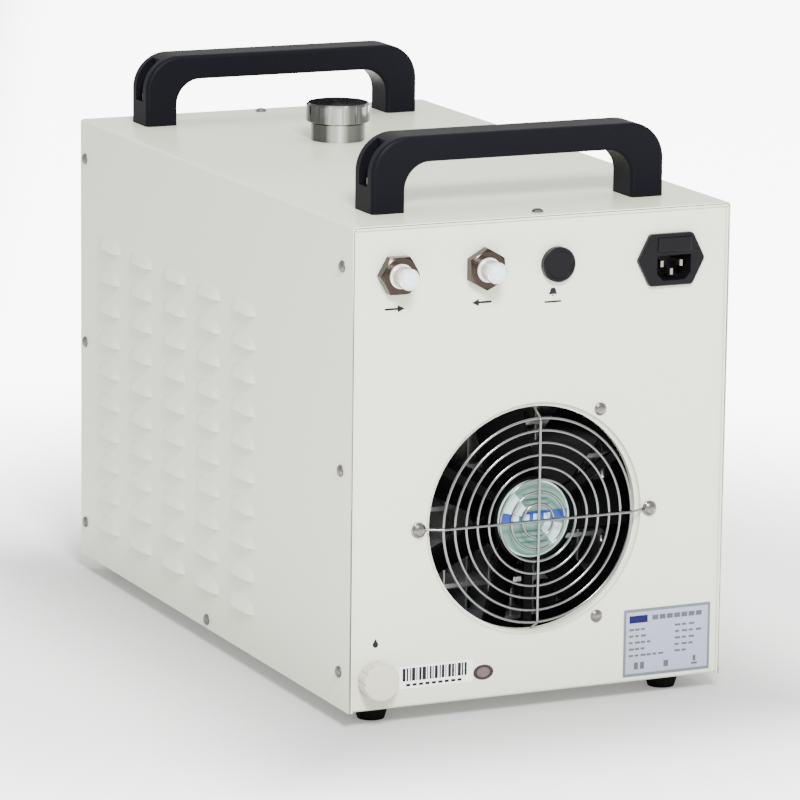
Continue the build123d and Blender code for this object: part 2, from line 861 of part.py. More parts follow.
ring_y = panel_y - guard_out
across_y = ring_y - 2 * guard_wire + guard_weld
down_y = across_y + guard_weld
eye_y = panel_y - guard_wire
eye_reach = fan_screw_circle - guard_eye_radius
spoke_foot_y = panel_y + fan_hole_roll
spoke_reach = fan_hole_radius - 1.3 * guard_wire
with BuildPart() as fan_guard:
    for number in range(guard_rings):
        guard_ring((fan_x, ring_y, fan_z), guard_ring_outer - number * guard_ring_pitch)
    for side in (-1, 1):
        guard_ring((fan_x + side * fan_screw_circle, eye_y, fan_z), guard_eye_radius)
    guard_spoke(
        [
            (fan_x - eye_reach, eye_y, fan_z),
            (fan_x - guard_ring_outer, across_y, fan_z),
            (fan_x + guard_ring_outer, across_y, fan_z),
            (fan_x + eye_reach, eye_y, fan_z),
        ]
    )
    guard_spoke(
        [
            (fan_x, spoke_foot_y, fan_z - spoke_reach),
            (fan_x, down_y, fan_z - guard_ring_outer),
            (fan_x, down_y, fan_z + guard_ring_outer),
            (fan_x, spoke_foot_y, fan_z + spoke_reach),
        ]
    )
finish(fan_guard, "fan_guard")

guard_screw_head = guard_eye_radius
with BuildPart() as fan_screws:
    for number, (x, z) in enumerate(fan_screw_xz):
        stand = 2 * guard_wire if number < 2 else 0
        length = stand + sheet + fan_ear_thickness + 4
        pan_screw((x, panel_y - stand, z), (0, 1, 0), m4_radius, guard_screw_head, m4_head_height, length)
finish(fan_screws, "fan_screws")

# Radiator: brazed core between two header tanks, with its feet

core_left = header_left_x + header_width / 2
core_right = header_right_x - header_width / 2
radiator_y = (y_at(radiator_rear_depth), y_at(radiator_rear_depth + radiator_thickness))
header_mid_y = y_at(header_mid_depth)
with BuildPart() as radiator:
    for x in (header_left_x, header_right_x):
        block(
            (x - header_width / 2, radiator_y[0], radiator_bottom),
            (x + header_width / 2, radiator_y[1], radiator_top),
        )
    for z in (radiator_bottom, radiator_top - header_wall):
        block((core_left, radiator_y[0], z), (core_right, radiator_y[1], z + header_wall))
    tube_pitch = (radiator_top - radiator_bottom) / (radiator_tubes + 1)
    for number in range(1, radiator_tubes + 1):
        z = radiator_bottom + number * tube_pitch
        block(
            (core_left, radiator_y[0] + radiator_fin_inset / 2, z - radiator_tube_height / 2),
            (core_right, radiator_y[1] - radiator_fin_inset / 2, z + radiator_tube_height / 2),
        )
    fin_pitch = (core_right - core_left) / (radiator_fins + 1)
    for number in range(1, radiator_fins + 1):
        x = core_left + number * fin_pitch
        block(
            (x - radiator_fin / 2, radiator_y[0] + radiator_fin_inset, radiator_bottom + header_wall / 2),
            (x + radiator_fin / 2, radiator_y[1] - radiator_fin_inset, radiator_top - header_wall / 2),
        )
    for x in radiator_foot_x:
        half = radiator_foot_width / 2
        block(
            (x - half, header_mid_y, base_top),
            (x + half, header_mid_y + radiator_foot_thickness, radiator_bottom),
        )
        block(
            (x - half, radiator_y[0], base_top),
            (x + half, header_mid_y, base_top + radiator_foot_thickness),
        )
    for x, y, seat in base_screws_xyz[-2:]:
        rod((x, y, floor_z), (0, 0, 1), m4_radius + screw_fit, 2 * radiator_foot_thickness, Mode.SUBTRACT)
    rod((header_left_x, header_mid_y, radiator_top), (0, 0, 1), spigot_radius, radiator_stub)
    rod((header_right_x, radiator_y[1], return_z), (0, 1, 0), spigot_radius, radiator_stub)
    for x in (header_left_x, header_right_x):
        block(
            (x - header_width / 2 + header_wall, radiator_y[0] + header_wall, radiator_bottom + header_wall),
            (x + header_width / 2 - header_wall, radiator_y[1] - header_wall, radiator_top - header_wall),
            mode=Mode.SUBTRACT,
        )
    rod((header_left_x, header_mid_y, radiator_top - 2 * header_wall), (0, 0, 1), spigot_bore,
        radiator_stub + 3 * header_wall, Mode.SUBTRACT)
    rod((header_right_x, radiator_y[1] - 2 * header_wall, return_z), (0, 1, 0), spigot_bore,
        radiator_stub + 3 * header_wall, Mode.SUBTRACT)
finish(radiator, "radiator")

# Water tank with its lid

tank_y = (y_at(tank_rear_depth), y_at(tank_front_depth))
tank_spigots = [(pump_x, pump_z), (header_right_x, return_z), (tank_drain_x, drain_z)]
with BuildPart() as water_tank:
    block((-tank_half, tank_y[0], base_top), (tank_half, tank_y[1], tank_top))
    for side in (-1, 1):
        for depth in tank_ear_depths:
            x = sorted((side * (tank_half - 1), side * (tank_half + tank_ear_length)))
            y = y_at(depth)
            block(
                (x[0], y - tank_ear_width / 2, base_top),
                (x[1], y + tank_ear_width / 2, base_top + tank_ear_thickness),
            )
    for x, z in tank_spigots:
        rod((x, tank_y[0], z), (0, -1, 0), spigot_radius, spigot_length)
    block(
        (-tank_half + tank_wall, tank_y[0] + tank_wall, base_top + tank_wall),
        (tank_half - tank_wall, tank_y[1] - tank_wall, tank_top),
        mode=Mode.SUBTRACT,
    )
    for x, z in tank_spigots:
        rod((x, tank_y[0] + 2 * tank_wall, z), (0, -1, 0), spigot_bore, spigot_length + 3 * tank_wall,
            Mode.SUBTRACT)
    for x, y, seat in base_screws_xyz[:4]:
        rod((x, y, floor_z), (0, 0, 1), m4_radius + screw_fit, 2 * tank_ear_thickness, Mode.SUBTRACT)
finish(water_tank, "water_tank")

spout_top = tank_top + lid_thickness + lid_spout
with BuildPart() as tank_lid:
    block(
        (-tank_half - lid_overhang, tank_y[0] - lid_overhang, tank_top),
        (tank_half + lid_overhang, tank_y[1] + lid_overhang, tank_top + lid_thickness),
    )
    lip_x = tank_half - tank_wall - lid_fit
    lip_y = (tank_y[0] + tank_wall + lid_fit, tank_y[1] - tank_wall - lid_fit)
    block((-lip_x, lip_y[0], tank_top - lid_lip), (lip_x, lip_y[1], tank_top))
    block(
        (-lip_x + tank_wall, lip_y[0] + tank_wall, tank_top - lid_lip),
        (lip_x - tank_wall, lip_y[1] - tank_wall, tank_top),
        mode=Mode.SUBTRACT,
    )
    rod((0, filler_y, tank_top), (0, 0, 1), neck_radius, spout_top - tank_top)
    rod((0, filler_y, tank_top - 1), (0, 0, 1), neck_bore, spout_top - tank_top + 2, Mode.SUBTRACT)
finish(tank_lid, "tank_lid")

# Filler: hose, neck with its collar, nut, gasket and screw cap

collar_top = top_z + neck_collar_height
neck_top = collar_top + neck_mouth_height
neck_bottom = cover_under - neck_tail
with BuildPart() as filler_neck:
    turned(
        (0, filler_y, 0),
        (0, 0, 1),
        [
            (neck_bottom, neck_bore),
            (neck_bottom, neck_radius),
            (top_z, neck_radius),
            (top_z, neck_collar_radius),
            (collar_top - 1, neck_collar_radius),
            (collar_top, neck_collar_radius - 1),
            (collar_top, neck_radius),
            (neck_top, neck_radius),
            (neck_top, neck_bore),
        ],
    )
finish(filler_neck, "filler_neck")

with BuildPart() as neck_nut:
    hexagon((0, filler_y, cover_under), (0, 0, -1), neck_nut_flats, neck_nut_height)
    rod((0, filler_y, cover_under), (0, 0, -1), neck_radius + screw_fit, neck_nut_height, Mode.SUBTRACT)
finish(neck_nut, "neck_nut")

with BuildPart() as filler_hose:
    sleeve_low = tank_top + lid_thickness + 1
    sleeve_high = cover_under - neck_nut_height - 3
    turned(
        (0, filler_y, 0),
        (0, 0, 1),
        [
            (sleeve_low, neck_radius + screw_fit),
            (sleeve_low, neck_radius + tank_wall),
            (sleeve_high, neck_radius + tank_wall),
            (sleeve_high, neck_radius + screw_fit),
        ],
    )
finish(filler_hose, "filler_hose")

gasket_low = neck_top + seal_gap
ceiling_z = gasket_low + gasket_thickness + seal_gap
cap_top = ceiling_z + cap_ceiling
cap_low = cap_top - cap_height
with BuildPart() as filler_gasket:
    turned(
        (0, filler_y, gasket_low),
        (0, 0, 1),
        [
            (0, neck_bore),
            (0, neck_radius - 2 * seal_gap),
            (gasket_thickness, neck_radius - 2 * seal_gap),
            (gasket_thickness, neck_bore),
        ],
    )
finish(filler_gasket, "filler_gasket")

with BuildPart() as filler_cap:
    turned(
        (0, filler_y, 0),
        (0, 0, 1),
        [
            (cap_low, neck_radius + running_fit),
            (cap_low, cap_radius - 0.6),
            (cap_low + 0.6, cap_radius),
            (cap_top - 1.5, cap_radius),
            (cap_top, cap_radius - 1.5),
            (cap_top, 0),
            (ceiling_z, 0),
            (ceiling_z, neck_radius + running_fit),
        ],
    )
    flute_circle = cap_radius + cap_flute_radius * 0.7
    with Locations(Plane(origin=(0, filler_y, cap_low - 1))):
        with PolarLocations(flute_circle, cap_flutes):
            Cylinder(cap_flute_radius, cap_height + 2, align=(Align.CENTER, Align.CENTER, Align.MIN),
                     mode=Mode.SUBTRACT)
finish(filler_cap, "filler_cap")

# Circulation pump: housing, impeller, shaft and motor

volute_y = (y_at(volute_rear_depth), y_at(volute_rear_depth + volute_length))
cavity_y = (volute_y[0] + volute_wall, volute_y[1] - volute_wall)
cavity_radius = volute_radius - volute_wall
discharge_y = (volute_y[0] + volute_y[1]) / 2
with BuildPart() as pump_housing:
    rod((pump_x, volute_y[0], pump_z), (0, 1, 0), volute_radius, volute_length)
    rod((pump_x, volute_y[1], pump_z), (0, 1, 0), spigot_radius, spigot_length)
    rod((outlet_x, discharge_y, pump_z), (0, 0, 1), spigot_radius, discharge_top - pump_z)
    rod((pump_x, cavity_y[0], pump_z), (0, 1, 0), cavity_radius, cavity_y[1] - cavity_y[0], Mode.SUBTRACT)
    rod((pump_x, cavity_y[1] - 1, pump_z), (0, 1, 0), spigot_bore, spigot_length + volute_wall + 2,
        Mode.SUBTRACT)
    rod((outlet_x, discharge_y, pump_z + spigot_bore), (0, 0, 1), spigot_bore, discharge_top - pump_z,
        Mode.SUBTRACT)
    rod((pump_x, volute_y[0] - 1, pump_z), (0, 1, 0), pump_shaft_radius + running_fit, volute_wall + 2,
        Mode.SUBTRACT)
finish(pump_housing, "pump_housing")

impeller_y = cavity_y[0] + impeller_gap
with BuildPart() as pump_impeller:
    rod((pump_x, impeller_y, pump_z), (0, 1, 0), impeller_radius, impeller_plate)
    rod((pump_x, impeller_y, pump_z), (0, 1, 0), impeller_hub, impeller_plate + impeller_blade)
    for number in range(impeller_blades):
        turn = 2 * pi * number / impeller_blades
        blade_frame = Plane(origin=(pump_x, impeller_y, pump_z), x_dir=(cos(turn), 0, sin(turn)),
                            z_dir=(0, 1, 0))
        with BuildSketch(blade_frame):
            with Locations(((impeller_radius + impeller_hub) / 2, 0)):
                Rectangle(impeller_radius - impeller_hub, impeller_plate, rotation=12)
        extrude(amount=impeller_plate + impeller_blade)
    rod((pump_x, impeller_y - 1, pump_z), (0, 1, 0), pump_shaft_radius + screw_fit / 2,
        impeller_plate + impeller_blade + 2, Mode.SUBTRACT)
finish(pump_impeller, "pump_impeller")

shaft_end_y = impeller_y + impeller_plate + impeller_blade
with BuildPart() as pump_shaft:
    rod((pump_x, volute_y[0] - pump_shaft_tail, pump_z), (0, 1, 0), pump_shaft_radius,
        shaft_end_y - volute_y[0] + pump_shaft_tail)
finish(pump_shaft, "pump_shaft")

motor_y = (y_at(motor_rear_depth), y_at(motor_front_depth))
motor_mid_y = y_at(motor_mid_depth)
with BuildPart() as pump_motor:
    rod((pump_x, motor_y[0], pump_z), (0, 1, 0), motor_radius, motor_length)
    block(
        (pump_x - motor_foot_half, motor_mid_y - motor_foot_length / 2, base_top),
        (pump_x + motor_foot_half, motor_mid_y + motor_foot_length / 2, base_top + motor_foot_thickness),
    )
    block(
        (pump_x - motor_pedestal_half, motor_mid_y - motor_foot_length / 2, base_top),
        (pump_x + motor_pedestal_half, motor_mid_y + motor_foot_length / 2, pump_z),
    )
    rod((pump_x, motor_y[1] - pump_shaft_tail - 1, pump_z), (0, 1, 0), pump_shaft_radius + running_fit,
        pump_shaft_tail + 2, Mode.SUBTRACT)
    for x, y, seat in base_screws_xyz[4:6]:
        rod((x, y, floor_z), (0, 0, 1), m4_radius + screw_fit, 2 * motor_foot_thickness, Mode.SUBTRACT)
finish(pump_motor, "pump_motor")

with BuildPart() as base_screws:
    for x, y, seat in base_screws_xyz:
        pan_screw((x, y, seat), (0, 0, -1), m4_radius, m4_head_radius, m4_head_height, seat - floor_z)
finish(base_screws, "base_screws")

# Inlet and outlet fittings with their nuts and plugs

tail_profile = [
    (tail_proud, tail_bore),
    (tail_proud, tail_radius - 0.8),
    (tail_proud - 0.8, tail_radius),
    (nut_height + 1, tail_radius),
    (nut_height + 1, thread_radius),
    (-sheet, thread_radius),
    (-sheet, fitting_flange_radius),
    (-sheet - fitting_flange, fitting_flange_radius),
]
step_depth = tail_proud - plug_length - 1
with BuildPart() as inlet_fitting:
    turned(
        (inlet_x, panel_y, fitting_z),
        (0, -1, 0),
        tail_profile
        + [
            (-sheet - fitting_flange, spigot_radius),
            (-sheet - fitting_inner_length, spigot_radius),
            (-sheet - fitting_inner_length, spigot_bore - 0.5),
            (step_depth, spigot_bore - 0.5),
            (step_depth, tail_bore),
        ],
    )
finish(inlet_fitting, "inlet_fitting")

with BuildPart() as outlet_fitting:
    turned(
        (outlet_x, panel_y, fitting_z),
        (0, -1, 0),
        tail_profile
        + [
            (-sheet - fitting_flange, thread_radius),
            (-sheet - fitting_flange - switch_socket, thread_radius),
            (-sheet - fitting_flange - switch_socket, spigot_bore - 0.5),
            (step_depth, spigot_bore - 0.5),
            (step_depth, tail_bore),
        ],
    )
finish(outlet_fitting, "outlet_fitting")

for port_name, port_x, port_turn in (("inlet", inlet_x, 0), ("outlet", outlet_x, 30)):
    with BuildPart() as port_nut:
        hexagon((port_x, panel_y, fitting_z), (0, -1, 0), nut_flats, nut_height, port_turn)
        rod((port_x, panel_y, fitting_z), (0, -1, 0), thread_radius + screw_fit, nut_height, Mode.SUBTRACT)
        cone_radius = nut_flats / 2 * 1.155
        turned(
            (port_x, panel_y, fitting_z),
            (0, -1, 0),
            [
                (nut_height - 1.5, cone_radius + 1),
                (nut_height - 1.5, cone_radius),
                (nut_height, cone_radius - 2.2),
                (nut_height, cone_radius + 1),
            ],
            Mode.SUBTRACT,
        )
    finish(port_nut, f"{port_name}_nut")
    with BuildPart() as port_plug:
        turned(
            (port_x, panel_y - tail_proud, fitting_z),
            (0, -1, 0),
            [
                (-plug_length, 0),
                (-plug_length, tail_bore - 0.6),
                (-plug_length + 0.6, tail_bore - plug_fit),
                (plug_proud - 0.3, tail_bore - plug_fit),
                (plug_proud, tail_bore - 0.5),
                (plug_proud, 0),
            ],
        )
    finish(port_plug, f"{port_name}_plug")

# Flow switch behind the outlet, with its paddle

switch_y = (spigot_face + fitting_flange + fit_gap, spigot_face + fitting_flange + fit_gap + switch_length)
paddle_y = (switch_y[0] + switch_socket + switch_y[1]) / 2
paddle_z = fitting_z + paddle_axis_rise
with BuildPart() as flow_switch:
    rod((outlet_x, switch_y[0], fitting_z), (0, 1, 0), switch_radius, switch_length)
    rod((outlet_x, switch_y[1], fitting_z), (0, 1, 0), spigot_radius, spigot_length)
    block(
        (outlet_x - sensor_size / 2, paddle_y - sensor_size / 2, fitting_z - switch_radius - sensor_drop),
        (outlet_x + sensor_size / 2, paddle_y + sensor_size / 2, fitting_z),
    )
    rod((outlet_x, switch_y[0] - 1, fitting_z), (0, 1, 0), thread_radius + screw_fit, switch_socket + 1,
        Mode.SUBTRACT)
    rod((outlet_x, switch_y[0] + switch_socket - 1, fitting_z), (0, 1, 0), switch_bore,
        switch_length - switch_socket - 2, Mode.SUBTRACT)
    rod((outlet_x, switch_y[0], fitting_z), (0, 1, 0), spigot_bore, switch_length + spigot_length + 1,
        Mode.SUBTRACT)
    rod((outlet_x - paddle_pin_half - fit_gap, paddle_y, paddle_z), (1, 0, 0),
        paddle_pin_radius + running_fit, 2 * (paddle_pin_half + fit_gap), Mode.SUBTRACT)
finish(flow_switch, "flow_switch")

with BuildPart() as flow_paddle:
    block(
        (outlet_x - paddle_width / 2, paddle_y - paddle_thickness / 2, paddle_z - paddle_length),
        (outlet_x + paddle_width / 2, paddle_y + paddle_thickness / 2, paddle_z),
    )
    rod((outlet_x - paddle_pin_half, paddle_y, paddle_z), (1, 0, 0), paddle_pin_radius, 2 * paddle_pin_half)
finish(flow_paddle, "flow_paddle")

# Hoses: each slides over a spigot at both ends

tank_hose_end = tank_y[0] - hose_start
inlet_hose_start = spigot_face + fitting_flange + hose_start
radiator_hose_end = radiator_top + hose_start
return_hose_start = radiator_y[1] + hose_start
suction_hose_start = volute_y[1] + hose_start
delivery_low = discharge_top - spigot_length
delivery_end = switch_y[1] + hose_start
drain_shift_y = (y_at(radiator_rear_depth + 2 * radiator_thickness), y_at(volute_rear_depth))
hose_routes = {
    "inlet_hose": (
        [
            (inlet_x, inlet_hose_start, fitting_z),
            (inlet_x, header_mid_y, fitting_z),
            (inlet_x, header_mid_y, radiator_hose_end),
        ],
        inlet_bend,
    ),
    "return_hose": (
        [(header_right_x, return_hose_start, return_z), (header_right_x, tank_hose_end, return_z)],
        0,
    ),
    "suction_hose": ([(pump_x, suction_hose_start, pump_z), (pump_x, tank_hose_end, pump_z)], 0),
    "delivery_hose": (
        [
            (outlet_x, discharge_y, delivery_low),
            (outlet_x, discharge_y, fitting_z),
            (outlet_x, delivery_end, fitting_z),
        ],
        delivery_bend,
    ),
    "drain_hose": (
        [
            (drain_x, inlet_hose_start, drain_z),
            (drain_x, drain_shift_y[0], drain_z),
            (tank_drain_x, drain_shift_y[1], drain_z),
            (tank_drain_x, tank_hose_end, drain_z),
        ],
        drain_bend,
    ),
}
for hose_name, (hose_points, hose_radius) in hose_routes.items():
    with BuildPart() as hose_part:
        hose(hose_points, hose_radius)
    finish(hose_part, hose_name)

with BuildPart() as hose_clamps:
    for hose_points, hose_radius in hose_routes.values():
        for end, inner in ((hose_points[0], hose_points[1]), (hose_points[-1], hose_points[-2])):
            along = (Vector(*inner) - Vector(*end)).normalized()
            clamp(tuple(Vector(*end) + along * clamp_inset), tuple(along))
finish(hose_clamps, "hose_clamps")

# Alarm socket and its pull-off cap

alarm_collar_radius = alarm_cap_radius - alarm_cap_wall
alarm_floor_y = panel_y - alarm_collar_height + alarm_cavity_depth
with BuildPart() as alarm_socket:
    turned(
        (alarm_x, panel_y, alarm_z),
        (0, -1, 0),
        [
            (alarm_collar_height, thread_radius - 1),
            (alarm_collar_height, alarm_collar_radius),
            (0, alarm_collar_radius),
            (0, thread_radius),
            (-alarm_body_length, thread_radius),
            (-alarm_body_length, 0),
            (alarm_collar_height - alarm_cavity_depth, 0),
            (alarm_collar_height - alarm_cavity_depth, thread_radius - 1),
        ],
    )
    rod((alarm_x, spigot_face, alarm_z), (0, 1, 0), alarm_collar_radius, fitting_flange)
    rod((alarm_x, spigot_face, alarm_z), (0, 1, 0), thread_radius - 1, fitting_flange, Mode.SUBTRACT)
    for side in (-1, 1):
        rod(
            (alarm_x + side * alarm_pin_spacing / 2, alarm_floor_y, alarm_z),
            (0, -1, 0),
            alarm_pin_radius,
            alarm_pin_length,
        )
finish(alarm_socket, "alarm_socket")

cap_inside = alarm_collar_radius + running_fit
with BuildPart() as alarm_cap:
    turned(
        (alarm_x, panel_y, alarm_z),
        (0, -1, 0),
        [
            (skirt_gap, cap_inside),
            (skirt_gap, alarm_cap_radius),
            (alarm_cap_height - 0.8, alarm_cap_radius),
            (alarm_cap_height, alarm_cap_radius - 0.8),
            (alarm_cap_height, alarm_cap_radius - 2.2),
            (alarm_cap_height - alarm_dish, alarm_cap_radius - 2.9),
            (alarm_cap_height - alarm_dish, 0),
            (alarm_collar_height + seal_gap, 0),
            (alarm_collar_height + seal_gap, cap_inside),
        ],
    )
finish(alarm_cap, "alarm_cap")

# Mains inlet with its pins and fuse drawer

pin_z = mains_z + socket_z + pin_rise
earth_z = mains_z + socket_z - earth_drop
socket_mid_x = mains_x + socket_x
cavity_back = panel_y - mains_proud + socket_depth
with BuildPart() as mains_inlet:
    with BuildSketch(Plane(origin=(mains_x, panel_y, mains_z), x_dir=(1, 0, 0), z_dir=(0, -1, 0))) as bezel:
        with BuildLine():
            Polyline(*mains_points(0), close=True)
        make_face()
        fillet(bezel.vertices(), 3)
    extrude(amount=mains_proud)
    chamfer(mains_inlet.faces().sort_by(Axis.Y)[0].edges(), 0.6)
    mains_prism(panel_y, panel_y + mains_body_depth, mains_body_margin)
    front = Plane(origin=(socket_mid_x, panel_y - mains_proud, mains_z + socket_z), x_dir=(1, 0, 0),
                  z_dir=(0, -1, 0))
    with BuildSketch(front) as cavity:
        Rectangle(socket_width, socket_height)
        chamfer(cavity.vertices().group_by(Axis.Y)[0], socket_chamfer)
    extrude(amount=-socket_depth, mode=Mode.SUBTRACT)
    block(
        (
            socket_mid_x - drawer_width / 2 - drawer_fit,
            panel_y - mains_proud - 1,
            mains_z + drawer_z - drawer_height / 2 - drawer_fit,
        ),
        (
            socket_mid_x + drawer_width / 2 + drawer_fit,
            panel_y - mains_proud + drawer_depth + drawer_fit,
            mains_z + drawer_z + drawer_height / 2 + drawer_fit,
        ),
        mode=Mode.SUBTRACT,
    )
finish(mains_inlet, "mains_inlet")

with BuildPart() as mains_pins:
    for x, z in (
        (socket_mid_x - pin_spacing / 2, pin_z),
        (socket_mid_x + pin_spacing / 2, pin_z),
        (socket_mid_x, earth_z),
    ):
        block(
            (x - pin_width / 2, cavity_back - pin_length, z - pin_height / 2),
            (x + pin_width / 2, cavity_back, z + pin_height / 2),
        )
finish(mains_pins, "mains_pins")

with BuildPart() as fuse_drawer:
    drawer_face = panel_y - mains_proud - drawer_proud
    block(
        (socket_mid_x - drawer_width / 2, drawer_face, mains_z + drawer_z - drawer_height / 2),
        (
            socket_mid_x + drawer_width / 2,
            drawer_face + drawer_proud + drawer_depth,
            mains_z + drawer_z + drawer_height / 2,
        ),
    )
    block(
        (socket_mid_x - drawer_width / 2 + 2, drawer_face + 4, mains_z + drawer_z - drawer_height / 2 + 2),
        (
            socket_mid_x + drawer_width / 2 - 2,
            drawer_face + drawer_depth - 2,
            mains_z + drawer_z + drawer_height / 2,
        ),
        mode=Mode.SUBTRACT,
    )
    chamfer(fuse_drawer.faces().sort_by(Axis.Y)[0].edges().filter_by(Axis.X), 0.5)
finish(fuse_drawer, "fuse_drawer")

# Drain spout with its seal and screw cap

with BuildPart() as drain_spout:
    turned(
        (drain_x, panel_y, drain_z),
        (0, -1, 0),
        [
            (drain_thread_length, spigot_bore),
            (drain_thread_length, drain_thread_radius),
            (-sheet, drain_thread_radius),
            (-sheet, fitting_flange_radius),
            (-sheet - fitting_flange, fitting_flange_radius),
            (-sheet - fitting_flange, spigot_radius),
            (-sheet - fitting_inner_length, spigot_radius),
            (-sheet - fitting_inner_length, spigot_bore),
        ],
    )
finish(drain_spout, "drain_spout")

with BuildPart() as drain_seal:
    turned(
        (drain_x, panel_y - drain_thread_length - seal_gap, drain_z),
        (0, -1, 0),
        [
            (0, 0),
            (0, drain_thread_radius - 2 * seal_gap),
            (drain_seal_thickness, drain_thread_radius - 2 * seal_gap),
            (drain_seal_thickness, 0),
        ],
    )
finish(drain_seal, "drain_seal")

drain_ceiling = drain_thread_length + 2 * seal_gap + drain_seal_thickness
with BuildPart() as drain_cap:
    turned(
        (drain_x, panel_y, drain_z),
        (0, -1, 0),
        [
            (skirt_gap, drain_thread_radius + running_fit),
            (skirt_gap, drain_cap_radius),
            (drain_cap_length - 1.2, drain_cap_radius),
            (drain_cap_length, drain_cap_radius - 1.2),
            (drain_cap_length, 0),
            (drain_ceiling, 0),
            (drain_ceiling, drain_thread_radius + running_fit),
        ],
    )
    with Locations(Plane(origin=(drain_x, panel_y, drain_z), x_dir=(1, 0, 0), z_dir=(0, -1, 0))):
        with PolarLocations(drain_cap_radius + 1, drain_flutes):
            Cylinder(1.8, drain_cap_length + 1, align=(Align.CENTER, Align.CENTER, Align.MIN),
                     mode=Mode.SUBTRACT)
finish(drain_cap, "drain_cap")

# Front controls: power switch with its rocker, and the temperature display

frame_half = (rocker_frame_width / 2, rocker_frame_height / 2)
well_half = (frame_half[0] - rocker_wall, frame_half[1] - rocker_wall)
axle_y = front_panel_y - rocker_axle_setback + rocker_frame_proud
with BuildPart() as power_switch:
    block(
        (switch_x - frame_half[0], front_panel_y, switch_z - frame_half[1]),
        (switch_x + frame_half[0], front_panel_y + rocker_frame_proud, switch_z + frame_half[1]),
    )
    chamfer(power_switch.faces().sort_by(Axis.Y)[-1].edges(), 0.5)
    block(
        (
            switch_x - frame_half[0] + rocker_body_margin,
            front_panel_y - rocker_body_depth,
            switch_z - frame_half[1] + rocker_body_margin,
        ),
        (
            switch_x + frame_half[0] - rocker_body_margin,
            front_panel_y,
            switch_z + frame_half[1] - rocker_body_margin,
        ),
    )
    block(
        (switch_x - well_half[0], front_panel_y - rocker_body_depth + 4, switch_z - well_half[1]),
        (switch_x + well_half[0], front_panel_y + rocker_frame_proud, switch_z + well_half[1]),
        mode=Mode.SUBTRACT,
    )
    rod((switch_x - well_half[0] - 1, axle_y, switch_z), (1, 0, 0), rocker_axle_radius + running_fit,
        2 * well_half[0] + 2, Mode.SUBTRACT)
finish(power_switch, "power_switch")

# The rocker is drawn level about its axle, then tilted to its off position
rocker_half = (well_half[0] - rocker_gap, well_half[1] - 2 * rocker_gap)
rocker_tilt_rad = rocker_tilt * pi / 180
rocker_rim = rocker_half[1] - 2 * rocker_gap
rocker_dip = rocker_rim * sin(rocker_tilt_rad)
rocker_reach = (front_panel_y + rocker_proud - axle_y - rocker_dip) / cos(rocker_tilt_rad)
rocker_frame = Plane(origin=(switch_x, axle_y, switch_z), x_dir=(0, cos(rocker_tilt_rad),
                     sin(rocker_tilt_rad)), z_dir=(1, 0, 0))
with BuildPart() as power_rocker:
    with BuildSketch(rocker_frame):
        with BuildLine():
            Polyline(
                (-rocker_core_radius * 0.6, -rocker_core_radius * 0.5),
                (-rocker_core_radius * 0.6, rocker_core_radius * 0.5),
                (0, rocker_half[1] - 1.0),
                (rocker_reach, rocker_rim),
                (rocker_reach - 1.2, 0),
                (rocker_reach, -rocker_rim),
                (0, -rocker_half[1] + 1.0),
                close=True,
            )
        make_face()
    extrude(amount=rocker_half[0], both=True)
    rod((switch_x - well_half[0] - 0.8, axle_y, switch_z), (1, 0, 0), rocker_axle_radius,
        2 * well_half[0] + 1.6)
finish(power_rocker, "power_rocker")

with BuildPart() as display:
    half_x = display_width / 2
    half_z = display_height / 2
    block(
        (-half_x, front_panel_y, display_z - half_z),
        (half_x, front_panel_y + display_bezel, display_z + half_z),
    )
    chamfer(display.faces().sort_by(Axis.Y)[-1].edges(), 1.0)
    block(
        (-half_x + display_body_margin, front_panel_y - display_body_depth,
         display_z - half_z + display_body_margin),
        (half_x - display_body_margin, front_panel_y, display_z + half_z - display_body_margin),
    )
    block(
        (-half_x + display_window_margin, front_panel_y + display_bezel - display_window_depth,
         display_z - half_z + display_window_margin),
        (half_x - display_window_margin, front_panel_y + display_bezel,
         display_z + half_z - display_window_margin),
        mode=Mode.SUBTRACT,
    )
finish(display, "display")

# Labels on the rear panel

with BuildPart() as rating_plate:
    block(
        (rating_plate_low[0], panel_y - rating_plate_thickness, rating_plate_low[1]),
        (rating_plate_high[0], panel_y, rating_plate_high[1]),
    )
finish(rating_plate, "rating_plate")

with BuildPart() as bar_label:
    block(
        (bar_label_low[0], panel_y - label_thickness, bar_label_low[1]),
        (bar_label_high[0], panel_y, bar_label_high[1]),
    )
finish(bar_label, "bar_label")

with BuildPart() as seal_label:
    with BuildSketch(Plane(origin=(seal_label_centre[0], panel_y, seal_label_centre[1]), x_dir=(1, 0, 0),
                           z_dir=(0, -1, 0))):
        Ellipse(*seal_label_radii)
    extrude(amount=label_thickness)
finish(seal_label, "seal_label")
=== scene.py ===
import json
from math import acos, atan2, cos, pi, radians, sin

import bmesh
import bpy
from mathutils import Matrix, Vector


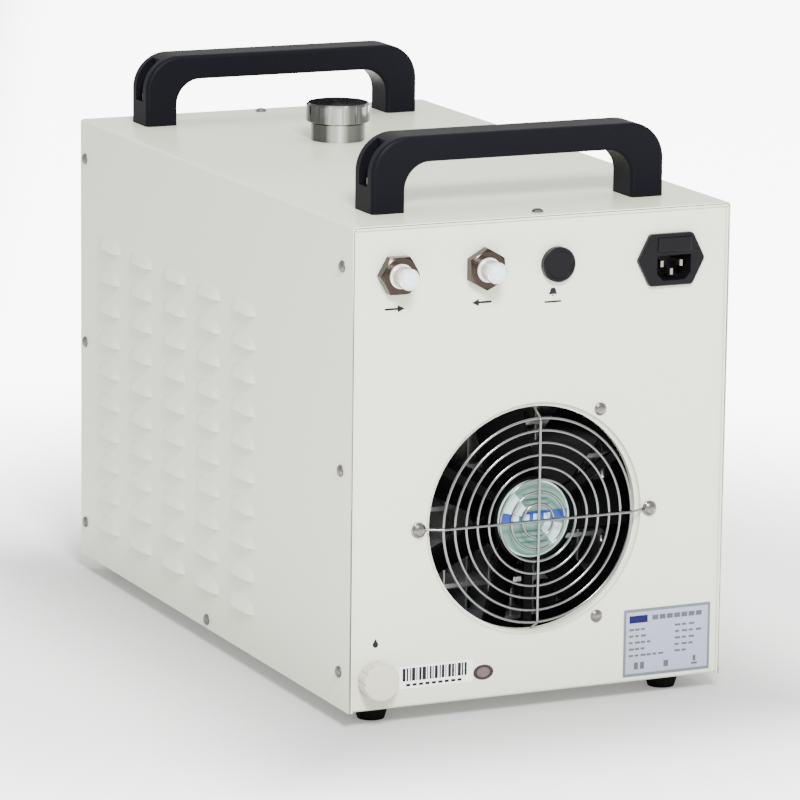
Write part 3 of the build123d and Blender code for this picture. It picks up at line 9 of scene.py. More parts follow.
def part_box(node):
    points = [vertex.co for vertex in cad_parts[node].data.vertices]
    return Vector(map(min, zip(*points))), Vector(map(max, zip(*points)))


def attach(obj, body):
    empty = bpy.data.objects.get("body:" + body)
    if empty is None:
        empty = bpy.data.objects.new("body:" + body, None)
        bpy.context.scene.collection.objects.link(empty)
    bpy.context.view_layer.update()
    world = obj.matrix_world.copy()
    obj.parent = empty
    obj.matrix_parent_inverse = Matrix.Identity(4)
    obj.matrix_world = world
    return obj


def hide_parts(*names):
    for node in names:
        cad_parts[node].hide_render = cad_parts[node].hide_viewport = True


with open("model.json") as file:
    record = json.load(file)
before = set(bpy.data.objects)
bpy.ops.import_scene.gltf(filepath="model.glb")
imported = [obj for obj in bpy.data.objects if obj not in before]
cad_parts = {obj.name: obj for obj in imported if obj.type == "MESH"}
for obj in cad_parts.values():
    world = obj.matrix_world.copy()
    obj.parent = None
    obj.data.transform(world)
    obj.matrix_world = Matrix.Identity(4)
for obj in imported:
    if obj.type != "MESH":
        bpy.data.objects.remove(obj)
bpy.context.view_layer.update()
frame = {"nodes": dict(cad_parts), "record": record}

nodes = frame["nodes"]

# Places taken from the frame, in metres

case_low, case_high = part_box("cover")
tray_low, tray_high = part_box("chassis")
REAR = case_low[1]
FRONT = case_high[1]
TOP = case_high[2]
FLOOR = case_low[2]
PANEL = tray_low[1]
SCREW_HEAD = 0.0023
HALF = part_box("cover_screws")[1][0] - SCREW_HEAD
fan_low, fan_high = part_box("fan_label")
FAN = Vector(((fan_low[0] + fan_high[0]) / 2, PANEL, (fan_low[2] + fan_high[2]) / 2))
MM = 0.001


# Materials

def add_node(tree, kind, **settings):
    """Shader node with its settings."""
    made = tree.nodes.new("ShaderNode" + kind)
    for key, value in settings.items():
        setattr(made, key, value)
    return made


def material(name, color, rough=0.5, metal=0.0, coat=0.0, grain=0.0, scale=900.0, vary=0.0, spec=0.5,
             emission=0.0):
    """Procedural finish with a fine grain and a faint drift of roughness."""
    m = bpy.data.materials.new(name)
    m.use_nodes = True
    tree = m.node_tree
    shader = tree.nodes["Principled BSDF"]
    shader.inputs["Base Color"].default_value = (*color, 1.0)
    shader.inputs["Roughness"].default_value = rough
    shader.inputs["Metallic"].default_value = metal
    shader.inputs["Coat Weight"].default_value = coat
    shader.inputs["Coat Roughness"].default_value = 0.12
    shader.inputs["Specular IOR Level"].default_value = spec
    if emission:
        shader.inputs["Emission Color"].default_value = (*color, 1.0)
        shader.inputs["Emission Strength"].default_value = emission
    coord = tree.nodes.new("ShaderNodeTexCoord")
    if grain:
        noise = tree.nodes.new("ShaderNodeTexNoise")
        noise.inputs["Scale"].default_value = scale
        noise.inputs["Detail"].default_value = 3.0
        bump = tree.nodes.new("ShaderNodeBump")
        bump.inputs["Strength"].default_value = grain
        bump.inputs["Distance"].default_value = 0.0002
        tree.links.new(coord.outputs["Object"], noise.inputs["Vector"])
        tree.links.new(noise.outputs["Fac"], bump.inputs["Height"])
        tree.links.new(bump.outputs["Normal"], shader.inputs["Normal"])
    if vary:
        drift = tree.nodes.new("ShaderNodeTexNoise")
        drift.inputs["Scale"].default_value = 9.0
        ramp = tree.nodes.new("ShaderNodeMapRange")
        ramp.inputs["To Min"].default_value = max(rough - vary, 0.02)
        ramp.inputs["To Max"].default_value = rough + vary
        tree.links.new(coord.outputs["Object"], drift.inputs["Vector"])
        tree.links.new(drift.outputs["Fac"], ramp.inputs["Value"])
        tree.links.new(ramp.outputs["Result"], shader.inputs["Roughness"])
    return m


paint = material("case_paint", (0.63, 0.64, 0.53), 0.34, coat=0.1, grain=0.03, scale=1400.0, vary=0.05)
black = material("handle_plastic", (0.0035, 0.0035, 0.0055), 0.5, grain=0.10, scale=2600.0, vary=0.04,
                 spec=0.06)
gloss_black = material("black_plastic", (0.004, 0.004, 0.005), 0.33, grain=0.04, vary=0.05, spec=0.12)
chrome = material("cap_chrome", (0.40, 0.42, 0.41), 0.08, metal=1.0, vary=0.02)
nickel = material("nut_nickel", (0.050, 0.038, 0.031), 0.22, metal=1.0, grain=0.05, vary=0.05)
wire = material("guard_steel", (0.20, 0.20, 0.20), 0.2, metal=1.0, vary=0.04)
steel = material("screw_steel", (0.17, 0.16, 0.15), 0.28, metal=1.0, grain=0.05, vary=0.05)
rubber = material("foot_rubber", (0.004, 0.004, 0.004), 0.75, grain=0.15, spec=0.06)
hose_rubber = material("hose_rubber", (0.02, 0.02, 0.022), 0.6, grain=0.1)
seal_rubber = material("seal_rubber", (0.04, 0.04, 0.04), 0.7, grain=0.1)
cream = material("drain_plastic", (0.50, 0.48, 0.39), 0.4, coat=0.1, grain=0.04, vary=0.05)
plug_blue = material("plug_plastic", (0.62, 0.74, 0.80), 0.35, vary=0.05)
tail_white = material("tail_nickel", (0.80, 0.80, 0.78), 0.25, metal=0.6, vary=0.05)
brass = material("pin_brass", (0.34, 0.31, 0.24), 0.3, metal=1.0, vary=0.05)
silver_plate = material("plate_silver", (0.28, 0.305, 0.375), 0.4, vary=0.06, spec=0.3)
plate_edge = material("plate_edge", (0.11, 0.125, 0.16), 0.4, vary=0.05, spec=0.3)
plate_ink = material("plate_ink_grey", (0.07, 0.08, 0.10), 0.5, vary=0.04, spec=0.2)
white_paper = material("label_white", (0.82, 0.82, 0.80), 0.55, grain=0.03)
dark_seal = material("seal_dark", (0.028, 0.018, 0.018), 0.45, vary=0.05, spec=0.2)
seal_mid = material("seal_mid", (0.10, 0.075, 0.08), 0.45, vary=0.05, spec=0.2)
ink = material("ink", (0.012, 0.012, 0.016), 0.5, vary=0.04, spec=0.1)
dark_ink = material("plate_ink", (0.008, 0.008, 0.06), 0.5, vary=0.04, spec=0.1)
hub_green = material("fan_label_silver", (0.10, 0.20, 0.16), 0.35, vary=0.1, spec=0.3)
hub_blue = material("hub_blue", (0.02, 0.05, 0.24), 0.35, vary=0.05, spec=0.2)
hub_pale = material("hub_pale", (0.42, 0.60, 0.56), 0.35, vary=0.05, spec=0.3)
hub_shade = material("hub_shade", (0.05, 0.11, 0.10), 0.35, vary=0.05, spec=0.2)
fan_black = material("fan_plastic", (0.0015, 0.0015, 0.0018), 0.5, grain=0.06, spec=0.04)
stator_dark = material("stator_steel", (0.12, 0.09, 0.07), 0.5, metal=0.5, grain=0.2)
aluminium = material("radiator_aluminium", (0.55, 0.56, 0.57), 0.4, metal=1.0, grain=0.1)
tank_white = material("tank_plastic", (0.70, 0.71, 0.68), 0.45, grain=0.05)
pump_grey = material("pump_plastic", (0.035, 0.035, 0.038), 0.5, grain=0.1)
motor_dark = material("motor_paint", (0.08, 0.09, 0.11), 0.4, grain=0.1)
screen = material("display_black", (0.01, 0.01, 0.012), 0.2, coat=0.5, vary=0.04)
screen_red = material("display_red", (0.75, 0.04, 0.02), 0.3, emission=0.6, vary=0.02)
rocker_green = material("rocker_green", (0.02, 0.18, 0.05), 0.35, vary=0.05)

# Painted reflection: dark and bright bands are painted into the chrome's colour round its axis, standing in
# for reflections, and turn with the cap: place in the turn, tone
PAINTED_REFLECTION_BANDS = (
    (0.02, 0.07), (0.11, 0.10), (0.145, 0.62), (0.215, 0.62), (0.25, 0.20), (0.33, 0.12), (0.43, 0.30),
    (0.52, 0.40), (0.60, 0.08), (0.68, 0.55), (0.78, 0.55), (0.84, 0.10), (0.93, 0.16),
)
CHROME_TINT = (0.80, 0.83, 0.81)


def paint_chrome_reflections():
    """Painted reflection bands in the chrome's base colour, round the axis of the filler cap and its collar.
    """
    low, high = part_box("filler_cap")
    tree = chrome.node_tree
    coord = tree.nodes.new("ShaderNodeTexCoord")
    centred = add_node(tree, "VectorMath", operation="SUBTRACT")
    centred.inputs[1].default_value = ((low[0] + high[0]) / 2, (low[1] + high[1]) / 2, 0.0)
    turn = add_node(tree, "TexGradient", gradient_type="RADIAL")
    painted_bands = add_node(tree, "ValToRGB")
    stops = painted_bands.color_ramp.elements
    while len(stops) < len(PAINTED_REFLECTION_BANDS):
        stops.new(0.5)
    for stop, (spot, painted_light_tone) in zip(stops, PAINTED_REFLECTION_BANDS):
        stop.position = spot
        stop.color = (*(painted_light_tone * part for part in CHROME_TINT), 1)
    tree.links.new(coord.outputs["Object"], centred.inputs[0])
    tree.links.new(centred.outputs["Vector"], turn.inputs["Vector"])
    tree.links.new(turn.outputs["Fac"], painted_bands.inputs["Fac"])
    tree.links.new(painted_bands.outputs["Color"], tree.nodes["Principled BSDF"].inputs["Base Color"])


paint_chrome_reflections()

finish_of = {
    "case_paint": paint,
    "handle_plastic": black,
    "cap_chrome": chrome,
    "nut_nickel": nickel,
    "guard_steel": wire,
    "screw_steel": steel,
    "foot_rubber": rubber,
    "hose_rubber": hose_rubber,
    "seal_rubber": seal_rubber,
    "drain_plastic": cream,
    "black_plastic": gloss_black,
    "plug_plastic": plug_blue,
    "pin_brass": brass,
    "plate_silver": silver_plate,
    "label_white": white_paper,
    "seal_dark": dark_seal,
    "fan_label_silver": hub_green,
    "fan_plastic": fan_black,
    "stator_steel": stator_dark,
    "radiator_aluminium": aluminium,
    "tank_plastic": tank_white,
    "pump_plastic": pump_grey,
    "motor_paint": motor_dark,
    "display_black": screen,
    "rocker_green": rocker_green,
}
slot_of = {s["node"]: s["material_slot"] for s in frame["record"]["subparts"]}
for name, node in nodes.items():
    node.data.materials.clear()
    node.data.materials.append(finish_of[slot_of[name]])
for name in ("inlet_fitting", "outlet_fitting"):
    nodes[name].data.materials.clear()
    nodes[name].data.materials.append(tail_white)


def smooth(obj, angle=32.0):
    """Smooth shading except across sharp edges."""
    mesh = obj.data
    for polygon in mesh.polygons:
        polygon.use_smooth = True
    work = bmesh.new()
    work.from_mesh(mesh)
    for edge in work.edges:
        if len(edge.link_faces) == 2:
            edge.smooth = edge.calc_face_angle(0.0) < radians(angle)
        else:
            edge.smooth = False
    work.to_mesh(mesh)
    work.free()


def soften(obj, width=0.0004, segments=2, angle=40.0):
    """Small rounded edges on a frame piece."""
    weld = obj.modifiers.new("weld", "WELD")
    weld.merge_threshold = 2e-6
    bevel = obj.modifiers.new("edge", "BEVEL")
    bevel.width = width
    bevel.segments = segments
    bevel.limit_method = "ANGLE"
    bevel.angle_limit = radians(angle)
    bevel.harden_normals = False


# Mesh helpers

def mesh_object(name, points, faces, finish, body="case", replaced=(), angle=32.0):
    """Piece made from points in the shared frame, carried by a body of the frame."""
    mesh = bpy.data.meshes.new(name)
    mesh.from_pydata([tuple(p) for p in points], [], faces)
    mesh.update()
    work = bmesh.new()
    work.from_mesh(mesh)
    bmesh.ops.remove_doubles(work, verts=work.verts, dist=1e-7)
    bmesh.ops.recalc_face_normals(work, faces=work.faces)
    work.to_mesh(mesh)
    work.free()
    obj = bpy.data.objects.new(name, mesh)
    bpy.context.scene.collection.objects.link(obj)
    mesh.materials.append(finish)
    smooth(obj, angle)
    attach(obj, body)
    if replaced:
        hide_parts(*replaced)
    return obj


class Shape:
    """Points and faces gathered for one piece."""

    def __init__(self):
        self.points = []
        self.faces = []

    def add(self, points, faces):
        start = len(self.points)
        self.points.extend(Vector(p) for p in points)
        self.faces.extend([i + start for i in face] for face in faces)

    def box(self, low, high):
        x0, y0, z0 = low
        x1, y1, z1 = high
        self.add(
            [(x0, y0, z0), (x1, y0, z0), (x1, y1, z0), (x0, y1, z0), (x0, y0, z1), (x1, y0, z1), (x1, y1, z1),
             (x0, y1, z1)],
            [(0, 3, 2, 1), (4, 5, 6, 7), (0, 1, 5, 4), (1, 2, 6, 5), (2, 3, 7, 6), (3, 0, 4, 7)],
        )

    def flat(self, outline, depth, thick):
        """Flat piece in front of a panel from an outline of (x, z) points."""
        n = len(outline)
        front = [(x, depth - thick, z) for x, z in outline]
        back = [(x, depth, z) for x, z in outline]
        faces = [list(range(n)), list(range(2 * n - 1, n - 1, -1))]
        faces += [(i, i + n, (i + 1) % n + n, (i + 1) % n) for i in range(n)]
        self.add(front + back, faces)

    def tube(self, path, radius, sides=10, closed=False):
        """Round wire along a path."""
        path = [Vector(p) for p in path]
        count = len(path)
        rings = []
        up = None
        for i, p in enumerate(path):
            if closed:
                along = (path[(i + 1) % count] - path[i - 1]).normalized()
            else:
                along = (path[min(i + 1, count - 1)] - path[max(i - 1, 0)]).normalized()
            if up is None:
                up = along.orthogonal().normalized()
            up = (up - along * up.dot(along)).normalized()
            side = along.cross(up)
            rings.append([p + (up * cos(2 * pi * k / sides) + side * sin(2 * pi * k / sides)) * radius
                          for k in range(sides)])
        points = [q for ring in rings for q in ring]
        faces = []
        for i in range(count if closed else count - 1):
            j = (i + 1) % count
            for k in range(sides):
                m = (k + 1) % sides
                faces.append((i * sides + k, i * sides + m, j * sides + m, j * sides + k))
        if not closed:
            faces.append(list(range(sides))[::-1])
            faces.append([(count - 1) * sides + k for k in range(sides)])
        self.add(points, faces)


def circle(centre, radius, count):
    """Points round an upright circle that faces the panel."""
    points = []
    for i in range(count):
        a = 2 * pi * i / count
        points.append(centre + Vector((radius * cos(a), 0, radius * sin(a))))
    return points


def rounded(path, radius, steps=6):
    """Path with its inner corners rounded."""
    path = [Vector(p) for p in path]
    out = [path[0]]
    for a, b, c in zip(path, path[1:], path[2:]):
        u = (a - b).normalized()
        v = (c - b).normalized()
        half = acos(max(-1.0, min(1.0, u.dot(v)))) / 2
        reach = radius / (sin(half) / cos(half))
        p = b + u * reach
        q = b + v * reach
        for i in range(steps + 1):
            t = i / steps
            out.append((p.lerp(b, t)).lerp(b.lerp(q, t), t))
    out.append(path[-1])
    return out


# Cover with pressed scoops: sizes in metres

SHEET = 0.0012
LIP = 0.0025
BEND = 0.0020
LOUVER_HALF = 0.02125
LOUVER_TALL = 0.010
LOUVER_OUT = 0.0038
PITCH_Y = 0.0607
PITCH_Z = 0.0226
LOUVER_MID = REAR + 0.2976
LOUVER_LOW = 0.0406
COLUMNS = 5
ROWS = 10
CELL_LOW = -0.0063
SKIRT = 1.06
LEVELS = (0.0, 0.2, 0.38, 0.54, 0.68, 0.79, 0.88, 0.94, 0.975, 1.0, 1.025, SKIRT)


def scoop_cell():
    """One cell of a louvered wall in (along, out, up), and its faces."""
    a, b, k = PITCH_Y / 2, LOUVER_HALF, LOUVER_TALL
    low, high = CELL_LOW, CELL_LOW + PITCH_Z
    corner = atan2(high / k, a / b)
    angles = sorted({round(pi * i / 28, 6) for i in range(29)} | {round(corner, 6), round(pi - corner, 6)})
    points = []
    faces = []

    def height(r, along, up):
        """Rise of the scoop: it leans out towards its straight lower edge and closes at its ends."""
        if r >= SKIRT:
            return 0.0
        ends = max(0.0, 1 - abs(along) ** 4) ** 0.7
        dome = max(0.0, 1 - up) * ends * max(0.0, 1 - r ** 6)
        skirt = 0.0 if r < 0.94 else max(0.0, (SKIRT - r) / 0.12) ** 2 * 0.04
        return LOUVER_OUT * max(dome, skirt)

    grid = []
    for t in angles:
        c, s = cos(t), sin(t)
        row = []
        for r in LEVELS:
            wide = abs(c) ** 0.8 * (1 if c >= 0 else -1)
            rise = r * s ** 0.85 if s > 1e-9 else 0.0
            row.append((b * r * wide, height(r, r * wide, rise), k * rise))
        scale = min(a / abs(b * c) if abs(c) > 1e-9 else 1e9, high / (k * s) if s > 1e-9 else 1e9)
        row.append((b * c * scale, 0.0, max(k * s * scale, 0.0)))
        grid.append(row)
    count = len(LEVELS) + 1
    for row in grid:
        points.extend(row)
    for i in range(len(angles) - 1):
        for j in range(count - 1):
            p, q = i * count + j, (i + 1) * count + j
            if j == 0:
                faces.append((p, p + 1, q + 1))
            else:
                faces.append((p, p + 1, q + 1, q))
    start = len(points)
    top_us = sorted(row[-1][0] for row in grid if abs(row[-1][2] - high) < 1e-7)
    strip = [(a, 0, 0), (b * SKIRT, 0, 0), (-b * SKIRT, 0, 0), (-a, 0, 0), (-a, 0, low)]
    strip += [(u, 0, low) for u in top_us if abs(u) < a - 1e-7] + [(a, 0, low)]
    points.extend(strip)
    faces.append(list(range(start, start + len(strip))))
    return points, faces


def build_cover():
    shape = Shape()
    points, faces = scoop_cell()
    y0 = LOUVER_MID - COLUMNS * PITCH_Y / 2
    y1 = LOUVER_MID + COLUMNS * PITCH_Y / 2
    z0 = LOUVER_LOW + CELL_LOW
    z1 = z0 + ROWS * PITCH_Z
    for side in (-1, 1):
        for column in range(COLUMNS):
            for row in range(ROWS):
                y = LOUVER_MID + (column - (COLUMNS - 1) / 2) * PITCH_Y
                z = LOUVER_LOW + row * PITCH_Z
                shape.add([(side * (HALF + o), y + u, z + w) for u, o, w in points], faces)
        x = side * HALF
        for ya, yb, za, zb in (
            (REAR, FRONT, FLOOR, z0),
            (REAR, FRONT, z1, TOP - BEND),
            (REAR, y0, z0, z1),
            (y1, FRONT, z0, z1),
        ):
            shape.add([(x, ya, za), (x, yb, za), (x, yb, zb), (x, ya, zb)], [(0, 1, 2, 3)])
        arc = [(side * (HALF - BEND + BEND * cos(t)), TOP - BEND + BEND * sin(t))
               for t in (pi / 2 * i / 6 for i in range(7))]
        for (xa, za), (xb, zb) in zip(arc, arc[1:]):
            shape.add([(xa, REAR, za), (xa, FRONT, za), (xb, FRONT, zb), (xb, REAR, zb)], [(0, 1, 2, 3)])
    w = HALF - BEND
    shape.add([(-w, REAR, TOP), (w, REAR, TOP), (w, FRONT, TOP), (-w, FRONT, TOP)], [(0, 1, 2, 3)])
    work = bmesh.new()
    for p in shape.points:
        work.verts.new(p)
    work.verts.ensure_lookup_table()
    for face in shape.faces:
        try:
            work.faces.new([work.verts[i] for i in face])
        except ValueError:
            continue
    bmesh.ops.remove_doubles(work, verts=work.verts, dist=2e-6)
    mesh = bpy.data.meshes.new("cover_skin")
    work.normal_update()
    for face in work.faces:
        middle = face.calc_center_median()
        outward = Vector((middle.x, 0, 0)) if abs(middle.x) > HALF - BEND - 1e-5 else Vector((0, 0, 1))
        if middle.z > TOP - BEND and abs(middle.x) > HALF - BEND - 1e-5:
            outward = Vector((middle.x, 0, abs(middle.x)))
        if face.normal.dot(outward) < 0:
            face.normal_flip()
    work.to_mesh(mesh)
    work.free()
    obj = bpy.data.objects.new("cover_skin", mesh)
    bpy.context.scene.collection.objects.link(obj)
    mesh.materials.append(paint)
    smooth(obj, 38.0)
    thick = obj.modifiers.new("sheet", "SOLIDIFY")
    thick.thickness = SHEET
    thick.offset = -1.0
    thick.use_rim = True
    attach(obj, "case")
    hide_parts("cover")
    # Lips round both ends
    lips = Shape()
    for a, b in ((REAR, REAR + SHEET), (FRONT - SHEET, FRONT)):
        for side in (-1, 1):
            xs = sorted((side * (HALF - LIP), side * (HALF - SHEET * 0.6)))
            lips.box((xs[0], a, FLOOR), (xs[1], b, TOP - BEND))
        lips.box((-(HALF - BEND * 0.7), a, TOP - LIP), (HALF - BEND * 0.7, b, TOP - SHEET * 0.6))
    mesh_object("cover_lips", lips.points, lips.faces, paint)


build_cover()

# Wire guard of the fan

GUARD_WIRE = 0.0009
GUARD_RINGS = 8
GUARD_OUTER = 0.0678
GUARD_PITCH = 0.0081
GUARD_STAND = 0.005
GUARD_OVERLAP = 0.0003
GUARD_BEND = 0.003
EYE_REACH = 0.0835
EYE_RADIUS = 0.0042
ARM_REACH = 0.0793
FOOT_REACH = 0.0732
FOOT_DEPTH = 0.003


def build_guard():
    shape = Shape()
    ring_y = PANEL - GUARD_STAND
    across = ring_y - 2 * GUARD_WIRE + GUARD_OVERLAP
    down = across + GUARD_OVERLAP
    centre = Vector((FAN.x, ring_y, FAN.z))
    for i in range(GUARD_RINGS):
        ring = circle(centre, GUARD_OUTER - GUARD_PITCH * i, 96 if i < 5 else 56)
        shape.tube(ring, GUARD_WIRE, closed=True)
    eye_y = PANEL - GUARD_WIRE
    for side in (-1, 1):
        eye = Vector((FAN.x + side * EYE_REACH, eye_y, FAN.z))
        shape.tube(circle(eye, EYE_RADIUS, 28), GUARD_WIRE, closed=True)
    level = [(FAN.x - ARM_REACH, eye_y, FAN.z), (FAN.x - GUARD_OUTER, across, FAN.z),
             (FAN.x + GUARD_OUTER, across, FAN.z), (FAN.x + ARM_REACH, eye_y, FAN.z)]
    foot_y = PANEL + FOOT_DEPTH
    upright = [(FAN.x, foot_y, FAN.z - FOOT_REACH), (FAN.x, down, FAN.z - GUARD_OUTER),
               (FAN.x, down, FAN.z + GUARD_OUTER), (FAN.x, foot_y, FAN.z + FOOT_REACH)]
    for path in (level, upright):
        shape.tube(rounded(path, GUARD_BEND), GUARD_WIRE)
    mesh_object("guard_wires", shape.points, shape.faces, wire, replaced=("fan_guard",), angle=60)


build_guard()

# Printed marks: plain bars and pictograms

def marks(name, outlines, plane_y, finish, thick=0.00008):
    shape = Shape()
    for outline in outlines:
        shape.flat(outline, plane_y, thick)
    return mesh_object(name, shape.points, shape.faces, finish, angle=20)


def bar(x0, z0, x1, z1):
    return [(x0, z0), (x1, z0), (x1, z1), (x0, z1)]


def mm(outline, cx=0.0, cz=0.0):
    return [((x + cx) * MM, (z + cz) * MM) for x, z in outline]


def arrow(cx, cz, way):
    """Short arrow with a stem."""
    points = [(-7, -0.7), (2, -0.7), (2, -2.4), (7, 0), (2, 2.4), (2, 0.7), (-7, 0.7)]
    return mm([(x * way, z) for x, z in points][:: 1 if way > 0 else -1], cx, cz)


def drop(cx, cz):
    """Water drop with its point up."""
    arc = [radians(30 - 16 * i) for i in range(16)]
    return mm([(0, 3.2)] + [(2 * cos(a), 2 * sin(a) - 0.8) for a in arc], cx, cz)


def ring_marks(cx, cz, outer, inner, count=24):
    parts = []
    for i in range(count):
        a, b = 2 * pi * i / count, 2 * pi * (i + 1) / count
        parts.append(mm([(inner * cos(a), inner * sin(a)), (outer * cos(a), outer * sin(a)),
                         (outer * cos(b), outer * sin(b)), (inner * cos(b), inner * sin(b))], cx, cz))
    return parts


def box_mm(name):
    """Left, bottom, right and top of a node, in millimetres, and the place of its outer face."""
    low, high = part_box(name)
    return low[0] / MM, low[2] / MM, high[0] / MM, high[2] / MM, low[1]


# Middles of the marks on the panel, in millimetres

INLET_MARK = (-105.0, 275.5)
OUTLET_MARK = (-43.7, 275.6)
BELL_MARK = (7.2, 279.0)
BELL_LINE = (7.2, 272.5)
DRAIN_MARK = (-116.0, 56.8)

bell = [(-3.2, -1.6), (3.2, -1.6), (2.3, -0.4), (2.1, 1.2), (1.2, 2.6), (-1.2, 2.6), (-2.1, 1.2),
        (-2.3, -0.4)]
clapper = [(-0.8, -2.7), (0.8, -2.7), (0.8, -2.0), (-0.8, -2.0)]
panel_marks = [
    arrow(*INLET_MARK, 1),
    arrow(*OUTLET_MARK, -1),
    mm(bell, *BELL_MARK),
    mm(clapper, *BELL_MARK),
    mm(bar(-6, -0.6, 6, 0.6), *BELL_LINE),
    drop(*DRAIN_MARK),
]
marks("panel_marks", panel_marks, PANEL, ink)

# Rating plate with a border and plain bars, in millimetres

EDGE_TALL = 1.9
EDGE_WIDE = 1.7
ROW_DROP = 14.6
ROW_STEP = 4.4
ROW_TALL = 1.4
LEFT_WORDS = (3, 3, 4, 3, 6)
LEFT_START, LEFT_STEP, LEFT_WIDE = 4.0, 4.4, 3.7
RIGHT_WORDS = (3, 4, 3, 3, 2)
RIGHT_START, RIGHT_STEP, RIGHT_WIDE, RIGHT_LIFT = 38.0, 5.2, 4.0, 0.6
HEAD_BLOCKS = 7
HEAD_START, HEAD_STEP, HEAD_WIDE = 21.0, 5.4, 4.4
HEAD_LOW, HEAD_HIGH = 8.2, 5.0
BADGE = (4.0, 17.5, 9.4, 4.4)
# Low blocks: distance from the left edge, height of the foot, width, height
LEFT_BLOCKS = ((8.0, 4.6, 3.0, 4.8), (12.5, 4.6, 3.0, 4.8), (30.0, 4.6, 3.5, 4.2))
# The same from the right edge
RIGHT_BLOCKS = ((-13.5, 4.2, 4.5, 1.4), (-12.4, 6.4, 2.2, 3.8))


def dress_plate():
    left, low, right, high, depth = box_mm("rating_plate")
    border = [
        bar(left, low, right, low + EDGE_TALL),
        bar(left, high - EDGE_TALL, right, high),
        bar(left, low + EDGE_TALL, left + EDGE_WIDE, high - EDGE_TALL),
        bar(right - EDGE_WIDE, low + EDGE_TALL, right, high - EDGE_TALL),
    ]
    marks("plate_border", [mm(o) for o in border], depth, plate_edge)
    rows = []
    for i, (left_words, right_words) in enumerate(zip(LEFT_WORDS, RIGHT_WORDS)):
        z = high - ROW_DROP - i * ROW_STEP
        for k in range(left_words):
            x = left + LEFT_START + k * LEFT_STEP
            rows.append(bar(x, z, x + LEFT_WIDE - (k + i) % 3 * 0.5, z + ROW_TALL))
        for k in range(right_words):
            x = left + RIGHT_START + k * RIGHT_STEP
            foot = z + RIGHT_LIFT
            rows.append(bar(x, foot, x + RIGHT_WIDE - (k + i) % 2 * 0.9, foot + ROW_TALL))
    for k in range(HEAD_BLOCKS):
        x = left + HEAD_START + k * HEAD_STEP
        rows.append(bar(x, high - HEAD_LOW, x + HEAD_WIDE, high - HEAD_HIGH))
    for edge, blocks in ((left, LEFT_BLOCKS), (right, RIGHT_BLOCKS)):
        for x, z, wide, tall in blocks:
            rows.append(bar(edge + x, low + z, edge + x + wide, low + z + tall))
    marks("plate_rows", [mm(o) for o in rows], depth, plate_ink)
    start, end, below, above = BADGE
    badge = bar(left + start, high - below, left + end, high - above)
    marks("plate_heading", [mm(badge)], depth, dark_ink)


dress_plate()

# Bar label: stripes above a row of dashes, in millimetres

STRIPE_WIDTHS = (2.0, 1.2, 0.8, 2.4, 0.7, 1.8, 2.6, 0.6, 1.4, 0.8, 2.2, 1.0, 1.9, 0.7, 2.1, 1.6, 0.6, 2.3,
                 1.1, 1.7, 2.0)
STRIPE_GAPS = (0.8, 1.2, 0.6)
STRIPE_MARGIN = 2.5
STRIPE_LOW, STRIPE_HIGH = 5.0, 13.6
DASHES = 9
DASH_START, DASH_STEP, DASH_WIDE = 5.0, 4.6, 3.0
DASH_LOW, DASH_HIGH = 1.5, 3.2


def dress_label():
    left, low, right, _, depth = box_mm("bar_label")
    stripes = []
    x = left + STRIPE_MARGIN
    for i, width in enumerate(STRIPE_WIDTHS):
        if x + width > right - STRIPE_MARGIN:
            break
        stripes.append(mm(bar(x, low + STRIPE_LOW, x + width, low + STRIPE_HIGH)))
        x += width + STRIPE_GAPS[i % len(STRIPE_GAPS)]
    for i in range(DASHES):
        x = left + DASH_START + i * DASH_STEP
        stripes.append(mm(bar(x, low + DASH_LOW, x + DASH_WIDE, low + DASH_HIGH)))
    marks("label_stripes", stripes, depth, ink)


dress_label()

# Oval seal with a paler middle

SEAL_MIDDLE = 0.64


def dress_seal():
    left, low, right, high, depth = box_mm("seal_label")
    wide, tall = (right - left) / 2 * SEAL_MIDDLE, (high - low) / 2 * SEAL_MIDDLE
    turns = [2 * pi * i / 32 for i in range(32)]
    oval = mm([(wide * cos(a), tall * sin(a)) for a in turns], (left + right) / 2, (low + high) / 2)
    marks("seal_middle", [oval], depth, seal_mid)


dress_seal()

# Label on the fan's hub, in millimetres from its middle

HUB_OUTER, HUB_INNER = 25.6, 24.8
BAND_HALF, BAND_LOW, BAND_HIGH = 24.0, -2.6, 4.8
GLINTS = 4
GLINT_START, GLINT_STEP, GLINT_WIDE, GLINT_LOW, GLINT_HIGH = -15.0, 7.5, 4.5, -0.9, 2.9
LINE_STEP, LINE_TALL = 3.6, 1.2
UPPER_HALF, UPPER_TAPER, UPPER_LOW = 13.0, 1.4, 8.5
LOWER_HALF, LOWER_TAPER, LOWER_LOW = 14.0, 1.6, -9.0
# The sheen is a painted highlight: pale wedges on the hub label, between these reaches and over these arcs in
# degrees
SHEEN_INNER, SHEEN_OUTER = 9.0, 24.4
SHEEN_ARCS = ((128, 166), (-52, -14))
SHEEN_STEPS = 6
PRINT_STEP = 0.00009


